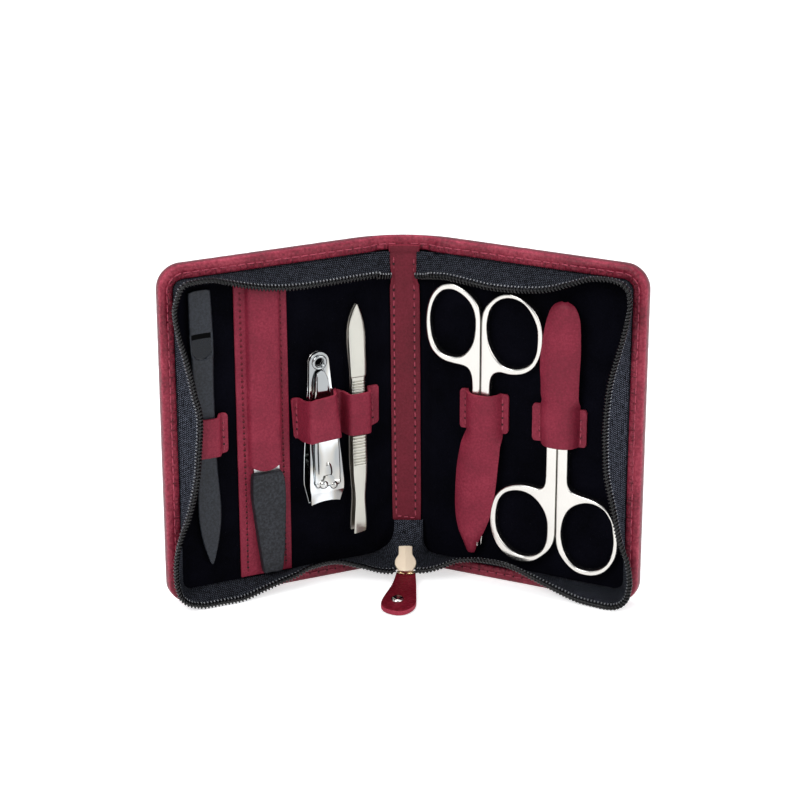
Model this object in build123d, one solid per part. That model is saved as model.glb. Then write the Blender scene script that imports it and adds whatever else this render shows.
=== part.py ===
from build123d import *
import math
import os

# A zipped leather manicure case that stands open like a book, with its tools in their loops.
# Millimetres. +X to the right, +Z up; the covers open towards -Y. The origin is the middle of
# the spine's foot, and the case stands on z = 0.
# A cover is drawn in its own plane: "a" runs from its hinge axis out to its free edge, "z" is
# up, and "n" is the height above its lining, towards the inside of the case.

# ---- case ----
case_height = 118.0
cover_width = 75.4            # hinge axis to the free edge
corner_radius = 8.0
rest_angle = 24.4             # each cover's lean forward from flat
hinge_x = 9.0
hinge_y = -2.47
spine_radius = 41.15          # middle of the spine leather
leather_thickness = 1.2
board_thickness = 1.4
lining_thickness = 1.2
lining_to_axis = 1.0          # the lining's face stands this far inside the hinge axis
lining_start = 0.2            # first a of the lining
lining_gap = 0.05             # round the tape's foot
board_start = 3.2             # first a of the board, the leather and the rim
rolled_edge = 1.0
knuckle_bore = 1.2            # radius inside the leather's fold at a hinge
knuckle_drop = 0.6            # the fold stays this far behind its hinge axis

# ---- turned rim ----
rim_width = 4.6
rim_height = 0.6              # above the lining
rim_wall = 1.0                # the rim's leather outside the board

# ---- zip ----
tape_thickness = 0.6
coil_radius = 0.95
coil_height = 6.7             # centre of the coil above the lining
hook_height = 2.4             # coil height beside the slider
mouth_share = 0.055           # share of the tape's foot that stays low beside the slider
rise_share = 0.025            # share over which the tape then rises
# inward lean of the coil, from the bottom of the hinge side round to the top, by share of path
tape_lean = [(0.0, -1.5), (0.03, 0.5), (0.075, 3.9), (0.115, 3.4), (0.155, 0.5), (0.19, -2.6),
             (0.235, -3.6), (0.275, -3.4), (0.305, -4.4), (0.335, -3.9), (0.37, -1.3),
             (0.41, 1.8), (0.45, 4.0), (0.53, 5.3), (0.59, 3.7), (0.65, 0.2), (0.70, -1.6),
             (0.74, -1.2), (0.77, -0.7), (0.80, 1.9), (0.85, 5.0), (0.90, 6.0), (1.0, 6.2)]

# ---- spine fittings ----
spine_half = 7.0              # half width of what is sewn on the spine
strip_width = 10.0
strip_offset = 0.8            # the strip, slider and puller sit right of the middle
strip_foot = 15.6
strip_thickness = 0.8
spine_lining_thickness = 0.6
top_end_height = 9.4          # zip ends tucked under the strip's top
top_end_thickness = 0.5

# ---- slider and puller ----
slider_pitch = 37.0
slider_tail_y = -9.7          # narrow end, middle of the face that looks up
slider_tail_z = 10.4
slider_neck = 5.0
slider_round = 3.6
slider_round_at = 6.3         # from the narrow end
slider_neck_length = 4.0
slider_plate = 0.9
slider_channel = 1.4
slider_post = 1.8
tail_thickness = 0.7
tail_width = 9.4
tail_tip_width = 4.4
tail_in_slider = 2.6
stub_gap = 0.15
stub_end = 6.2                # the zip's short ends stop inside the closed covers
eye_at = 10.6                 # from the narrow end
eye_depth = 2.6
eye_radius = 1.3
eye_width = 1.4
bail_wire = 0.45
bail_clearance = 0.05
bail_width = 4.6
bail_length = 3.4
puller_yaw = 5.5
puller_pitch = 2.1
puller_start = 1.5            # from the bail's rear bar
puller_length = 24.9
puller_root_width = 6.6
puller_end_radius = 5.6
puller_thickness = 1.8
rivet_at = 13.9
rivet_radius = 2.15
rivet_post = 0.8
rivet_dome = 0.9
rivet_back = 0.35

# ---- loops ----
strap_thickness = 1.0
tool_lift = 0.3               # a tool's back above the lining

# ---- black pusher ----
pusher_a = cover_width - 14.0
pusher_tilt = -1.19
pusher_top = case_height - 8.8
pusher_tip = 13.1
pusher_width = 8.1
pusher_neck = 6.8
pusher_neck_z = (50.0, 72.0)
pusher_plate_foot = 93.0
pusher_belly_z = 31.0
pusher_thickness = 1.4
scoop_width = 6.4
scoop_length = 8.0
scoop_depth = 0.5
pusher_loop_z = (50.2, 65.8)
pusher_loop_half = 5.6
pusher_tab = 2.3

# ---- nail file and its pocket ----
file_a = 40.8
pocket_strip_width = 17.9
pocket_strip_offset = 0.4
pocket_strip_thickness = 0.9
pocket_z = (5.8, case_height - 7.0)
sheath_top = case_height - 9.1
sheath_width = 14.8
sheath_foot = 44.6
sheath_sag = 3.0
file_width = 9.0
file_thickness = 0.8
file_top = case_height - 10.0
tang_width = 5.0
tang_foot = 24.0
handle_top = sheath_foot - 1.4
handle_foot = 7.2
handle_shoulder = 10.4
handle_width = 11.4
handle_belly_z = handle_top - 6.2
handle_end_width = 6.8
handle_thickness = 3.0
file_gap = 0.3

# ---- nail clipper ----
clipper_a = 22.2
clipper_tilt = -2.0
clipper_top = 83.4
clipper_jaw_z = 29.4
clipper_tail_radius = 3.5
clipper_belly_z = 38.0
arm_part_z = 72.0             # the arms lie together above this
arm_belly_z = (36.0, 46.0)
arm_belly = 2.15              # half the gap between the arms at their belly
jaw_gap = 0.55                # half the gap at the cutting edges
jaw_rise_z = 34.5
clipper_width = 12.2
clipper_jaw_width = 10.4
clipper_arm = 1.3
clipper_tail_n = 3.9          # where the two arms meet
clipper_hole = 1.3
eyelet_gap = 0.05
pin_z = 39.5
pin_radius = 1.25
pin_clearance = 0.08
pin_arm_clearance = 0.5
pin_head_radius = 2.2
lever_end_z = 77.2
lever_end_radius = 2.0
lever_width = 9.0
lever_foot_z = 37.6
lever_thickness = 1.2
lever_gap = 0.25
lever_bend_z = (50.0, 54.0)
barrel_radius = 1.3
barrel_z = 36.2

# ---- tweezers ----
tweezers_a = 8.3
tweezers_top = 96.9
tweezers_foot = 16.2
tweezers_leg = 1.0
tweezers_gap = 2.9            # between the legs near their tips
tweezers_pivot_z = 88.5
tweezers_blade_width = 5.8
tweezers_grip_width = 4.8
tweezers_waist = 3.5
tweezers_tip_width = 4.4
rib_z = (41.0, 73.0)
rib_pitch = 1.7
rib_depth = 0.2

# ---- double loop over the clipper and the tweezers ----
double_z = (52.2, 67.4)
double_tab = 2.6
double_high = 9.7             # inside height over the clipper
double_low = 5.5              # inside height over the tweezers
clipper_loop = (6.1, 5.7, 5.2, 6.4)    # inside edges left of, and right of, the clipper's middle
tweezers_loop = (5.3, 3.3, 3.9, 4.9)   # the same about the tweezers' middle

# ---- scissors ----
scissors_back = 0.6
scissors_thickness = 3.0
blade_gap = 0.06
split_gap = 0.3
pivot_boss = 4.2
pivot_relief = 0.3
screw_radius = 1.5
screw_clearance = 0.05
screw_head_radius = 2.3
screw_head = 0.25
strap_gap = 0.3
strap_half = 5.3
strap_tab = 3.0
leaf_edge = 0.3

nail_a = 20.0
nail_pivot_z = 47.0
nail_tip_z = 11.8
nail_shank_half = 3.1
nail_blade_half = 3.4
nail_strap_z = (53.7, 67.6)
nail_leaf = [(-4.2, 62.6), (-4.6, 55.7), (-8.4, 32.0), (-4.7, 10.6), (-2.2, 10.4), (6.6, 34.0),
             (5.4, 55.7), (4.2, 62.6)]
nail_left_ring = (10.15, 90.6, 9.85, 14.0, 8.1, 11.8)
nail_right_ring = (30.75, 89.9, 10.35, 13.9, 8.75, 12.2)

cuticle_a = 47.3
cuticle_pivot_z = 64.0
cuticle_tip_z = 99.0
cuticle_shank_half = 3.6
cuticle_blade_half = 3.0
cuticle_strap_z = (52.8, 66.8)
cuticle_leaf = [(-4.0, 56.8), (-5.6, 62.0), (-6.1, 77.0), (-3.8, 98.0), (1.6, 103.4), (7.0, 99.0),
                (7.4, 79.0), (6.6, 62.0), (4.0, 56.8)]
cuticle_left_ring = (35.45, 23.5, 11.35, 14.0, 8.8, 11.75)
cuticle_right_ring = (58.4, 23.5, 11.0, 14.4, 9.0, 12.0)

# ---- worked out ----
cover_stack = lining_thickness + board_thickness + leather_thickness
leather_face = -lining_thickness - board_thickness    # n of the leather's inner face
tape_inset = rim_width + tape_thickness / 2
tape_corner = corner_radius - tape_inset
scissors_top = scissors_back + scissors_thickness
scissors_middle = scissors_back + scissors_thickness / 2
left, right = -1, 1

os.makedirs("parts", exist_ok=True)


def save(name, *solids):
    """Write one node, as one solid or as a group of separate solids."""
    shape = solids[0] if len(solids) == 1 else Compound(children=list(solids))
    export_step(shape, f"parts/{name}.step")


def slab(outline, n_from, n_to):
    """A cover-plane outline, solid between two heights above the lining."""
    return extrude(Plane.XZ.offset(lining_to_axis + n_from) * outline, amount=n_to - n_from)


def along_z(section, z_from, z_to):
    """A section drawn in (a, n), solid between two heights on the cover."""
    frame = Plane((0, -lining_to_axis, z_to), x_dir=(1, 0, 0), z_dir=(0, 0, -1))
    return extrude(frame * section, amount=z_to - z_from)


def along_a(profile, a_from, a_to):
    """A side profile drawn in (z, n), solid between two distances from the hinge."""
    frame = Plane((a_from, -lining_to_axis, 0), x_dir=(0, 0, 1), z_dir=(1, 0, 0))
    return extrude(frame * profile, amount=a_to - a_from)


def area(*points):
    """A filled outline with straight sides."""
    return make_face(Polyline(*points, close=True))


def block(a_from, a_to, z_from, z_to):
    """A rectangle in the cover's plane."""
    return area((a_from, z_from), (a_to, z_from), (a_to, z_to), (a_from, z_to))


def spot(a, z, radius):
    """A disc in the cover's plane."""
    return Pos(a, z) * Circle(radius)


def on_cover(side, shape):
    """Stand a piece of a cover's own plane in the open case."""
    if side == left:
        shape = mirror(shape, about=Plane.YZ)
    return Location((side * hinge_x, hinge_y, 0), (0, 0, -side * rest_angle)) * shape


def turned(shape, angle, a, z):
    """Turn a piece in the cover's plane about a point of it."""
    return Pos(a, 0, z) * Rot(0, -angle, 0) * Pos(-a, 0, -z) * shape


# ---- covers ----
def panel(start, inset, radius):
    """The cover's outline, drawn in by an inset, with its two outer corners rounded."""
    width = cover_width - inset - start
    sheet = Pos(start + width / 2, case_height / 2) * Rectangle(width, case_height - 2 * inset)
    return fillet(sheet.vertices().group_by(Axis.X)[-1], radius)


def rolled(shape, face):
    """Round the free edges of a cover's outer or inner face."""
    edges = face.edges().filter_by(lambda edge: edge.center().X > board_start + 0.1)
    return fillet(edges, rolled_edge)


def cover_leather():
    """The outer leather, rolled at its free edges."""
    sheet = slab(panel(board_start, 0, corner_radius), -cover_stack, leather_face)
    return rolled(sheet, sheet.faces().sort_by(Axis.Y)[-1])


def cover_rim():
    """The turned leather edge, a frame that holds the board's border and faces the inside."""
    frame = slab(panel(board_start, 0, corner_radius), leather_face, rim_height)
    frame = rolled(frame, frame.faces().sort_by(Axis.Y)[0])
    inner = panel(board_start - 2, rim_width, corner_radius - rim_width)
    frame -= slab(inner, leather_face - 1, rim_height + 1)
    pocket = panel(board_start - 2, rim_wall, corner_radius - rim_wall)
    return frame - slab(pocket, leather_face - 1, -lining_thickness)


def cover_board():
    """The stiffener between the leather and the lining."""
    return slab(panel(board_start, rim_wall, corner_radius - rim_wall), leather_face, -lining_thickness)


def cover_lining():
    """The velvet panel inside the zip tape's foot."""
    inset = rim_width + tape_thickness + lining_gap
    return slab(panel(lining_start, inset, corner_radius - rim_width), -lining_thickness, 0)


# ---- zip tapes ----
def eased(pairs, share):
    """Read a list of (share, value) pairs with a smooth step between neighbours."""
    for (start, low), (end, high) in zip(pairs, pairs[1:]):
        if share <= end:
            part = (share - start) / (end - start)
            return low + (high - low) * (1 - math.cos(math.pi * part)) / 2
    return pairs[-1][1]


def tape_foot(share):
    """A point of the tape's foot, and the way inward from it, in the cover's plane."""
    run = cover_width - tape_inset - tape_corner - board_start
    rise = case_height - 2 * (tape_inset + tape_corner)
    turn = math.pi / 2 * tape_corner
    way = share * (2 * run + 2 * turn + rise)
    edge = cover_width - tape_inset
    if way <= run:
        return board_start + way, tape_inset, 0, 1
    way -= run
    if way <= turn:
        angle = way / tape_corner
        low = tape_inset + tape_corner
        return (edge - tape_corner + tape_corner * math.sin(angle), low - tape_corner * math.cos(angle),
                -math.sin(angle), math.cos(angle))
    way -= turn
    if way <= rise:
        return edge, tape_inset + tape_corner + way, -1, 0
    way -= rise
    high = case_height - tape_inset - tape_corner
    if way <= turn:
        angle = way / tape_corner
        return (edge - tape_corner + tape_corner * math.cos(angle), high + tape_corner * math.sin(angle),
                -math.cos(angle), -math.sin(angle))
    way -= turn
    return edge - tape_corner - way, case_height - tape_inset, 0, -1


def coil_rise(share):
    """The coil's height above the lining, low beside the slider's place."""
    steps = [(0, hook_height), (mouth_share, hook_height), (mouth_share + rise_share, coil_height),
             (1, coil_height)]
    return eased(steps, share)


def station(share, outline):
    """A section across the tape: points are (inward, height) pairs."""
    a, z, inward_a, inward_z = tape_foot(share)
    corners = [Vector(a + inward_a * t, -lining_to_axis - n, z + inward_z * t) for t, n in outline]
    return make_face(Polyline(*corners, close=True))


def tape_section(share):
    """Across the tape: upright in its seam, then leaning to the coil."""
    half = tape_thickness / 2
    lean, height = eased(tape_lean, share), coil_rise(share)
    reach = 1 - (coil_radius + 0.2) / math.hypot(lean, height)
    return station(share, [(-half, -lining_thickness), (half, -lining_thickness), (half, 0),
                           (half + lean * reach, height * reach), (-half + lean * reach, height * reach),
                           (-half, 0)])


def coil_section(share):
    """Across the coil: an octagon about its centre."""
    lean, height = eased(tape_lean, share), coil_rise(share)
    corners = [math.radians(22.5 + 45 * i) for i in range(8)]
    return station(share, [(lean + coil_radius * math.cos(t), height + coil_radius * math.sin(t))
                           for t in corners])


def tape_shares():
    """Stations along the tape: even on the straight runs, close together round the corners."""
    run = cover_width - tape_inset - tape_corner - board_start
    rise = case_height - 2 * (tape_inset + tape_corner)
    turn = math.pi / 2 * tape_corner
    total = 2 * run + 2 * turn + rise
    shares, start = [], 0
    for length, steps in ((run, 18), (turn, 6), (rise, 26), (turn, 6), (run, 18)):
        shares += [(start + length * i / steps) / total for i in range(steps)]
        start += length
    return shares + [1]


def ribbon(section, first):
    """Run a section round the cover from one share of the path to its end."""
    shares = [share for share in tape_shares() if share >= first]
    return loft([section(share) for share in shares], ruled=True)


# ---- loops and straps ----
def strap(path, thickness=strap_thickness):
    """A leather band's section: its underside follows the path in (a, n), from left to right."""
    outer = []
    for i, (a, n) in enumerate(path):
        before = path[max(i - 1, 0)]
        after = path[min(i + 1, len(path) - 1)]
        ways = []
        for start, end in ((before, (a, n)), ((a, n), after)):
            length = math.dist(start, end)
            if length > 0:
                ways.append(((end[0] - start[0]) / length, (end[1] - start[1]) / length))
        normals = [(-way[1], way[0]) for way in ways]
        total = [sum(normal[k] for normal in normals) for k in (0, 1)]
        scale = thickness * len(normals) / (total[0] ** 2 + total[1] ** 2)
        outer.append((a + total[0] * scale, n + total[1] * scale))
    return area(*path, *reversed(outer))


def bridge(centre, half, height, tab, slope=1.2):
    """The path of one loop: a tab, up over a tool, down, a tab."""
    return [(centre - half - tab, 0), (centre - half, 0), (centre - half + slope, height),
            (centre + half - slope, height), (centre + half, 0), (centre + half + tab, 0)]


def scissors_strap(centre, span):
    """The band that holds a pair of scissors."""
    return along_z(strap(bridge(centre, strap_half, scissors_top + strap_gap, strap_tab)), *span)


def leaf(*points):
    """The free leather flap over a pair of blades, from a smooth outline."""
    face = make_face(Spline(*points, periodic=True))
    low = scissors_top + strap_gap
    return slab(face, low, low + strap_thickness)


def nail_sheath():
    """Strap and pointed leaf over the nail scissors."""
    flap = leaf(*[(nail_a + x, z) for x, z in nail_leaf])
    return scissors_strap(nail_a, nail_strap_z) + flap


def cuticle_sheath():
    """Strap and round-ended leaf over the cuticle scissors."""
    flap = leaf(*[(cuticle_a + x, z) for x, z in cuticle_leaf])
    return scissors_strap(cuticle_a, cuticle_strap_z) + flap


def pusher_loop():
    """The loop round the black pusher."""
    height = tool_lift + pusher_thickness + file_gap
    path = bridge(pusher_a - 0.2, pusher_loop_half, height, pusher_tab)
    return along_z(strap(path), *pusher_loop_z)


def double_loop():
    """One band, sewn between its two bulges: over the clipper and over the tweezers."""
    tweezers_low, tweezers_high, tweezers_far, tweezers_foot_a = tweezers_loop
    clipper_low, clipper_high, clipper_far, clipper_foot_a = clipper_loop
    path = [(lining_start + 0.1, 0), (tweezers_a - tweezers_low, 0),
            (tweezers_a - tweezers_high, double_low), (tweezers_a + tweezers_far, double_low),
            (tweezers_a + tweezers_foot_a, 0), (clipper_a - clipper_low, 0),
            (clipper_a - clipper_high, double_high), (clipper_a + clipper_far, double_high),
            (clipper_a + clipper_foot_a, 0), (clipper_a + clipper_foot_a + double_tab, 0)]
    return along_z(strap(path), *double_z)


def pocket_strip():
    """The flat leather strip behind the nail file."""
    middle = file_a + pocket_strip_offset
    half = pocket_strip_width / 2
    return slab(block(middle - half, middle + half, *pocket_z), 0, pocket_strip_thickness)


def pocket_sheath():
    """The sewn tongue that makes the file's pocket, with a curved lower end."""
    half = sheath_width / 2
    low = pocket_strip_thickness
    high = low + file_gap + file_thickness + file_gap
    wall = strap_thickness
    foot = file_width / 2 + file_gap
    section = area((file_a - half, low), (file_a + half, low), (file_a + half, low + wall),
                   (file_a + foot + wall, high + wall), (file_a - foot - wall, high + wall),
                   (file_a - half, low + wall))
    section -= area((file_a - foot, low), (file_a + foot, low), (file_a + foot, high),
                    (file_a - foot, high))
    tongue = along_z(section, sheath_foot, sheath_top)
    end = ThreePointArc((file_a - half, sheath_foot + sheath_sag), (file_a, sheath_foot),
                        (file_a + half, sheath_foot + sheath_sag))
    rest = Polyline(end @ 1, (file_a + half, case_height), (file_a - half, case_height), end @ 0)
    return tongue & slab(make_face([end, rest]), 0, high + 2 * wall)


# ---- black pusher ----
def pusher():
    """Flat plate, scoop, neck and pointed blade in one piece."""
    half, neck = pusher_width / 2, pusher_neck / 2
    neck_low, neck_high = pusher_neck_z
    side = [(half - 0.3, pusher_top), (half, pusher_plate_foot), (neck, neck_high), (neck, neck_low)]
    right_side = Polyline(*[(pusher_a + x, z) for x, z in side])
    left_side = Polyline(*[(pusher_a - x, z) for x, z in side])
    right_edge = Spline(right_side @ 1, (pusher_a + half, pusher_belly_z), (pusher_a, pusher_tip),
                        tangents=[(0, -1), (-0.55, -0.83)])
    left_edge = Spline(left_side @ 1, (pusher_a - half, pusher_belly_z), (pusher_a, pusher_tip),
                       tangents=[(0, -1), (0.55, -0.83)])
    top = Line(left_side @ 0, right_side @ 0)
    blade = slab(make_face([top, right_side, right_edge, left_edge, left_side]),
                 tool_lift, tool_lift + pusher_thickness)
    hollow = block(pusher_a - scoop_width / 2, pusher_a + scoop_width / 2,
                   pusher_plate_foot - scoop_length + scoop_width / 2, pusher_plate_foot)
    hollow += spot(pusher_a, pusher_plate_foot - scoop_length + scoop_width / 2, scoop_width / 2)
    top_n = tool_lift + pusher_thickness
    return blade - slab(hollow, top_n - scoop_depth, top_n + 1)


# ---- nail file ----
def file_level():
    """n of the file blade's back."""
    return pocket_strip_thickness + file_gap


def file_blade():
    """The steel blade, with a narrower tang in the handle."""
    half = file_width / 2
    blade = block(file_a - half, file_a + half, handle_top, file_top - half)
    blade += spot(file_a, file_top - half, half)
    blade += block(file_a - tang_width / 2, file_a + tang_width / 2, tang_foot, handle_top + 1)
    return slab(blade, file_level(), file_level() + file_thickness)


def file_handle():
    """The black grip, slotted for the tang."""
    half_top, half, half_end = handle_shoulder / 2, handle_width / 2, handle_end_width / 2
    right_edge = Spline((file_a + half_top, handle_top), (file_a + half, handle_belly_z),
                        (file_a + half_end, handle_foot + 1))
    left_edge = Spline((file_a - half_top, handle_top), (file_a - half, handle_belly_z),
                       (file_a - half_end, handle_foot + 1))
    end = ThreePointArc(left_edge @ 1, (file_a, handle_foot), right_edge @ 1)
    top = Line(left_edge @ 0, right_edge @ 0)
    back = file_level() + (file_thickness - handle_thickness) / 2
    back = max(back, pocket_strip_thickness + 0.1)
    grip = slab(make_face([top, right_edge, end, left_edge]), back, back + handle_thickness)
    slot = block(file_a - tang_width / 2, file_a + tang_width / 2, tang_foot, handle_top + 1)
    return grip - slab(slot, file_level(), file_level() + file_thickness)


# ---- nail clipper ----
def clipper_plan(width, jaw_width):
    """The arms' outline: a round tail, a widening body and a hollow jaw."""
    tail_z = clipper_top - clipper_tail_radius
    half, jaw = width / 2, jaw_width / 2
    right_side = Polyline((clipper_a + clipper_tail_radius, tail_z), (clipper_a + half, clipper_belly_z),
                          (clipper_a + half, clipper_belly_z - 2), (clipper_a + jaw, clipper_jaw_z))
    left_side = Polyline((clipper_a - clipper_tail_radius, tail_z), (clipper_a - half, clipper_belly_z),
                         (clipper_a - half, clipper_belly_z - 2), (clipper_a - jaw, clipper_jaw_z))
    tail = ThreePointArc(left_side @ 0, (clipper_a, clipper_top), right_side @ 0)
    jaw_edge = ThreePointArc(left_side @ 1, (clipper_a, clipper_jaw_z + 1), right_side @ 1)
    return make_face([tail, right_side, jaw_edge, left_side])


def arm_profile(direction):
    """Side profile of an arm: from the tail away to the belly, then in to the cutting edge."""
    middle = clipper_tail_n
    back = clipper_arm * direction
    belly = arm_belly * direction
    low, high = arm_belly_z
    edge = jaw_gap * direction
    face = [(clipper_top + 1, middle), (arm_part_z, middle), (high, middle + belly), (low, middle + belly),
            (clipper_jaw_z - 1, middle + edge)]
    rear = [(clipper_jaw_z - 1, middle + edge + 0.4 * direction), (jaw_rise_z, middle + belly + back),
            (high, middle + belly + back), (arm_part_z, middle + back), (clipper_top + 1, middle + back)]
    return area(*face, *rear)


def clipper_arm_piece(direction):
    """One arm of the clipper."""
    width = clipper_width
    plan = slab(clipper_plan(width, clipper_jaw_width), 0, 12)
    arm = along_a(arm_profile(direction), clipper_a - width, clipper_a + width) & plan
    return arm - slab(spot(clipper_a, clipper_top - clipper_tail_radius, clipper_hole), -1, 12)


def clipper_lower():
    """The lower arm, with the pin's hole."""
    return clipper_arm_piece(-1) - slab(spot(clipper_a, pin_z, pin_radius), -1, 12)


def clipper_upper():
    """The upper arm, free round the pin."""
    return clipper_arm_piece(1) - slab(spot(clipper_a, pin_z, pin_radius + pin_arm_clearance), -1, 12)


def lever_base():
    """n of the lever's underside at its foot."""
    return clipper_tail_n + arm_belly + clipper_arm + lever_gap


def clipper_lever():
    """The thumb lever, folded flat along the arms, with its two round feet."""
    low = lever_base()
    tail_n = clipper_tail_n + clipper_arm + 2 * lever_gap
    bend_low, bend_high = lever_bend_z
    half = lever_width / 2
    profile = area((lever_foot_z, low), (bend_low + 2, low), (lever_end_z, tail_n),
                   (lever_end_z, tail_n + lever_thickness), (bend_high, low + lever_thickness),
                   (lever_foot_z, low + lever_thickness))
    right_side = Line((clipper_a + lever_end_radius, lever_end_z - lever_end_radius),
                      (clipper_a + half, bend_low))
    left_side = Line((clipper_a - lever_end_radius, lever_end_z - lever_end_radius),
                     (clipper_a - half, bend_low))
    end = ThreePointArc(left_side @ 0, (clipper_a, lever_end_z), right_side @ 0)
    foot = Polyline(right_side @ 1, (clipper_a + half, lever_foot_z), (clipper_a - half, lever_foot_z),
                    left_side @ 1)
    plan = slab(make_face([end, right_side, foot, left_side]), 0, 12)
    lever = along_a(profile, clipper_a - half, clipper_a + half) & plan
    lever -= slab(spot(clipper_a, pin_z, pin_radius + pin_clearance), 0, 12)
    for shift in (-1.6, 1.6):
        middle = low + barrel_radius - 0.15
        ball = Pos(clipper_a + shift, -lining_to_axis - middle, barrel_z) * Sphere(barrel_radius)
        lever += ball
    return lever


def clipper_pin():
    """The pin through both arms, headed below the lower arm and above the lever."""
    foot_n = clipper_tail_n - arm_belly - clipper_arm
    top_n = lever_base() + lever_thickness + 0.1
    post = slab(spot(clipper_a, pin_z, pin_radius), foot_n, top_n)
    head = slab(spot(clipper_a, pin_z, pin_radius + 0.55), top_n, top_n + 0.5)
    return post + head


def clipper_eyelet():
    """The rivet tube that holds the two arms at the tail."""
    ring = spot(clipper_a, clipper_top - clipper_tail_radius, clipper_hole - eyelet_gap)
    ring -= spot(clipper_a, clipper_top - clipper_tail_radius, clipper_hole - 0.4)
    return slab(ring, clipper_tail_n - clipper_arm, clipper_tail_n + clipper_arm)


# ---- tweezers ----
def tweezers_plan():
    """The legs' outline: a pointed blade, a ribbed grip, a waist and a broad tip."""
    length = tweezers_top - tweezers_foot
    shape = [(0, tweezers_tip_width), (0.05, tweezers_tip_width), (0.15, tweezers_waist),
             (0.27, tweezers_grip_width), (0.72, tweezers_grip_width), (0.79, tweezers_blade_width),
             (0.91, tweezers_blade_width)]
    widths = [(tweezers_foot + length * share, width) for share, width in shape]
    right_side = Spline(*[(tweezers_a + width / 2, z) for z, width in widths],
                        (tweezers_a, tweezers_top))
    left_side = Spline(*[(tweezers_a - width / 2, z) for z, width in widths],
                       (tweezers_a, tweezers_top))
    foot = Line(left_side @ 0, right_side @ 0)
    return make_face([foot, right_side, left_side])


def tweezers_joint():
    """n where the two legs meet."""
    return tool_lift + tweezers_leg


def tweezers_back():
    """The leg that lies on the lining."""
    return slab(tweezers_plan(), tool_lift, tweezers_joint())


def tweezers_front():
    """The bowed leg, ribbed where it is held."""
    low = tweezers_joint()
    span = tweezers_pivot_z - tweezers_foot
    bow = [(0, 0), (0.187, 0.45), (0.394, 0.69), (0.67, 0.93), (0.947, 1.0), (1.02, 0.83)]
    inner = [(tweezers_top + 1, low)]
    inner += [(tweezers_pivot_z - span * share, low + tweezers_gap * part) for share, part in bow]
    outer = [(z, n + tweezers_leg) for z, n in reversed(inner)]
    leg = along_a(area(*inner, *outer), tweezers_a - 5, tweezers_a + 5)
    leg &= slab(tweezers_plan(), 0, 12)
    for i in range(int((rib_z[1] - rib_z[0]) / rib_pitch)):
        z = rib_z[0] + i * rib_pitch
        part = (rib_z[1] - z) / (rib_z[1] - rib_z[0])
        top = low + tweezers_leg + tweezers_gap * (0.47 + 0.45 * part)
        groove = slab(block(tweezers_a - 5, tweezers_a + 5, z, z + rib_pitch / 3), top - rib_depth, top + 2)
        leg -= groove
    return leg


# ---- scissors ----
def oval(a, z, half_a, half_z):
    """A filled ellipse in the cover's plane."""
    return Pos(a, z) * Ellipse(half_a, half_z)


def scissors_half(centre, pivot_z, tip_z, shank_half, blade_half, ring, ring_side, layer):
    """One half: a finger ring and shank at full thickness, a pivot boss and blade at half."""
    ring_a, ring_z, outer_a, outer_z, inner_a, inner_z = ring
    to_ring = math.copysign(1, ring_z - pivot_z)
    split = centre + ring_side * split_gap / 2
    edge = centre + ring_side * shank_half
    joint_z = ring_z - to_ring * (outer_z + 5.0)
    inner_z_edge = ring_z + to_ring * 7
    shank = area((split, pivot_z), (edge, pivot_z), (edge, joint_z),
                 (edge + ring_side * 4, ring_z - to_ring * (outer_z - 1.6)),
                 (ring_a, ring_z), (split, inner_z_edge))
    grip = oval(ring_a, ring_z, outer_a, outer_z) + shank
    grip -= oval(ring_a, ring_z, inner_a, inner_z)
    far = ring_z + to_ring * 40
    grip &= block(min(split, split + ring_side * 40), max(split, split + ring_side * 40),
                  min(pivot_z, far), max(pivot_z, far))
    boss = spot(centre, pivot_z, pivot_boss)
    tip_a = centre - ring_side * 0.8
    blade = area((centre - blade_half, pivot_z), (centre + blade_half, pivot_z),
                 (centre + blade_half * 0.8, pivot_z - to_ring * 14), (tip_a + 0.3, tip_z),
                 (tip_a - 0.3, tip_z), (centre - blade_half * 0.8, pivot_z - to_ring * 14))
    low = scissors_back if layer == 0 else scissors_middle + blade_gap / 2
    high = scissors_middle - blade_gap / 2 if layer == 0 else scissors_top
    other_low = scissors_middle - blade_gap / 2 if layer == 0 else scissors_back
    other_high = scissors_top if layer == 0 else scissors_middle + blade_gap / 2
    half = slab(grip, low, high) + slab(boss + blade, low, high)
    clear = spot(centre, pivot_z, pivot_boss + pivot_relief)
    half += slab(grip - clear, other_low, other_high)
    hole = screw_radius + (screw_clearance if layer == 1 else 0)
    return half - slab(spot(centre, pivot_z, hole), scissors_back - 1, scissors_top + 1)


def scissors_screw(centre, pivot_z):
    """The pivot screw, headed on both sides of the halves."""
    post = slab(spot(centre, pivot_z, screw_radius), scissors_back, scissors_top + blade_gap)
    head = slab(spot(centre, pivot_z, screw_head_radius), scissors_top + blade_gap,
                scissors_top + blade_gap + screw_head - 0.06)
    foot = slab(spot(centre, pivot_z, screw_head_radius), scissors_back - screw_head, scissors_back)
    return post + head + foot


# ---- spine ----
def spine_band(inner, outer, x_from, x_to, z_from, z_to):
    """A layer of the curved spine, measured outward from the middle of its leather."""
    ring = Circle(spine_radius + outer) - Circle(spine_radius + inner)
    ring = Pos(0, -spine_radius) * ring
    window = area((x_from, -4), (x_to, -4), (x_to, 2), (x_from, 2))
    return extrude(Pos(0, 0, z_from) * (ring & window), amount=z_to - z_from)


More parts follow.
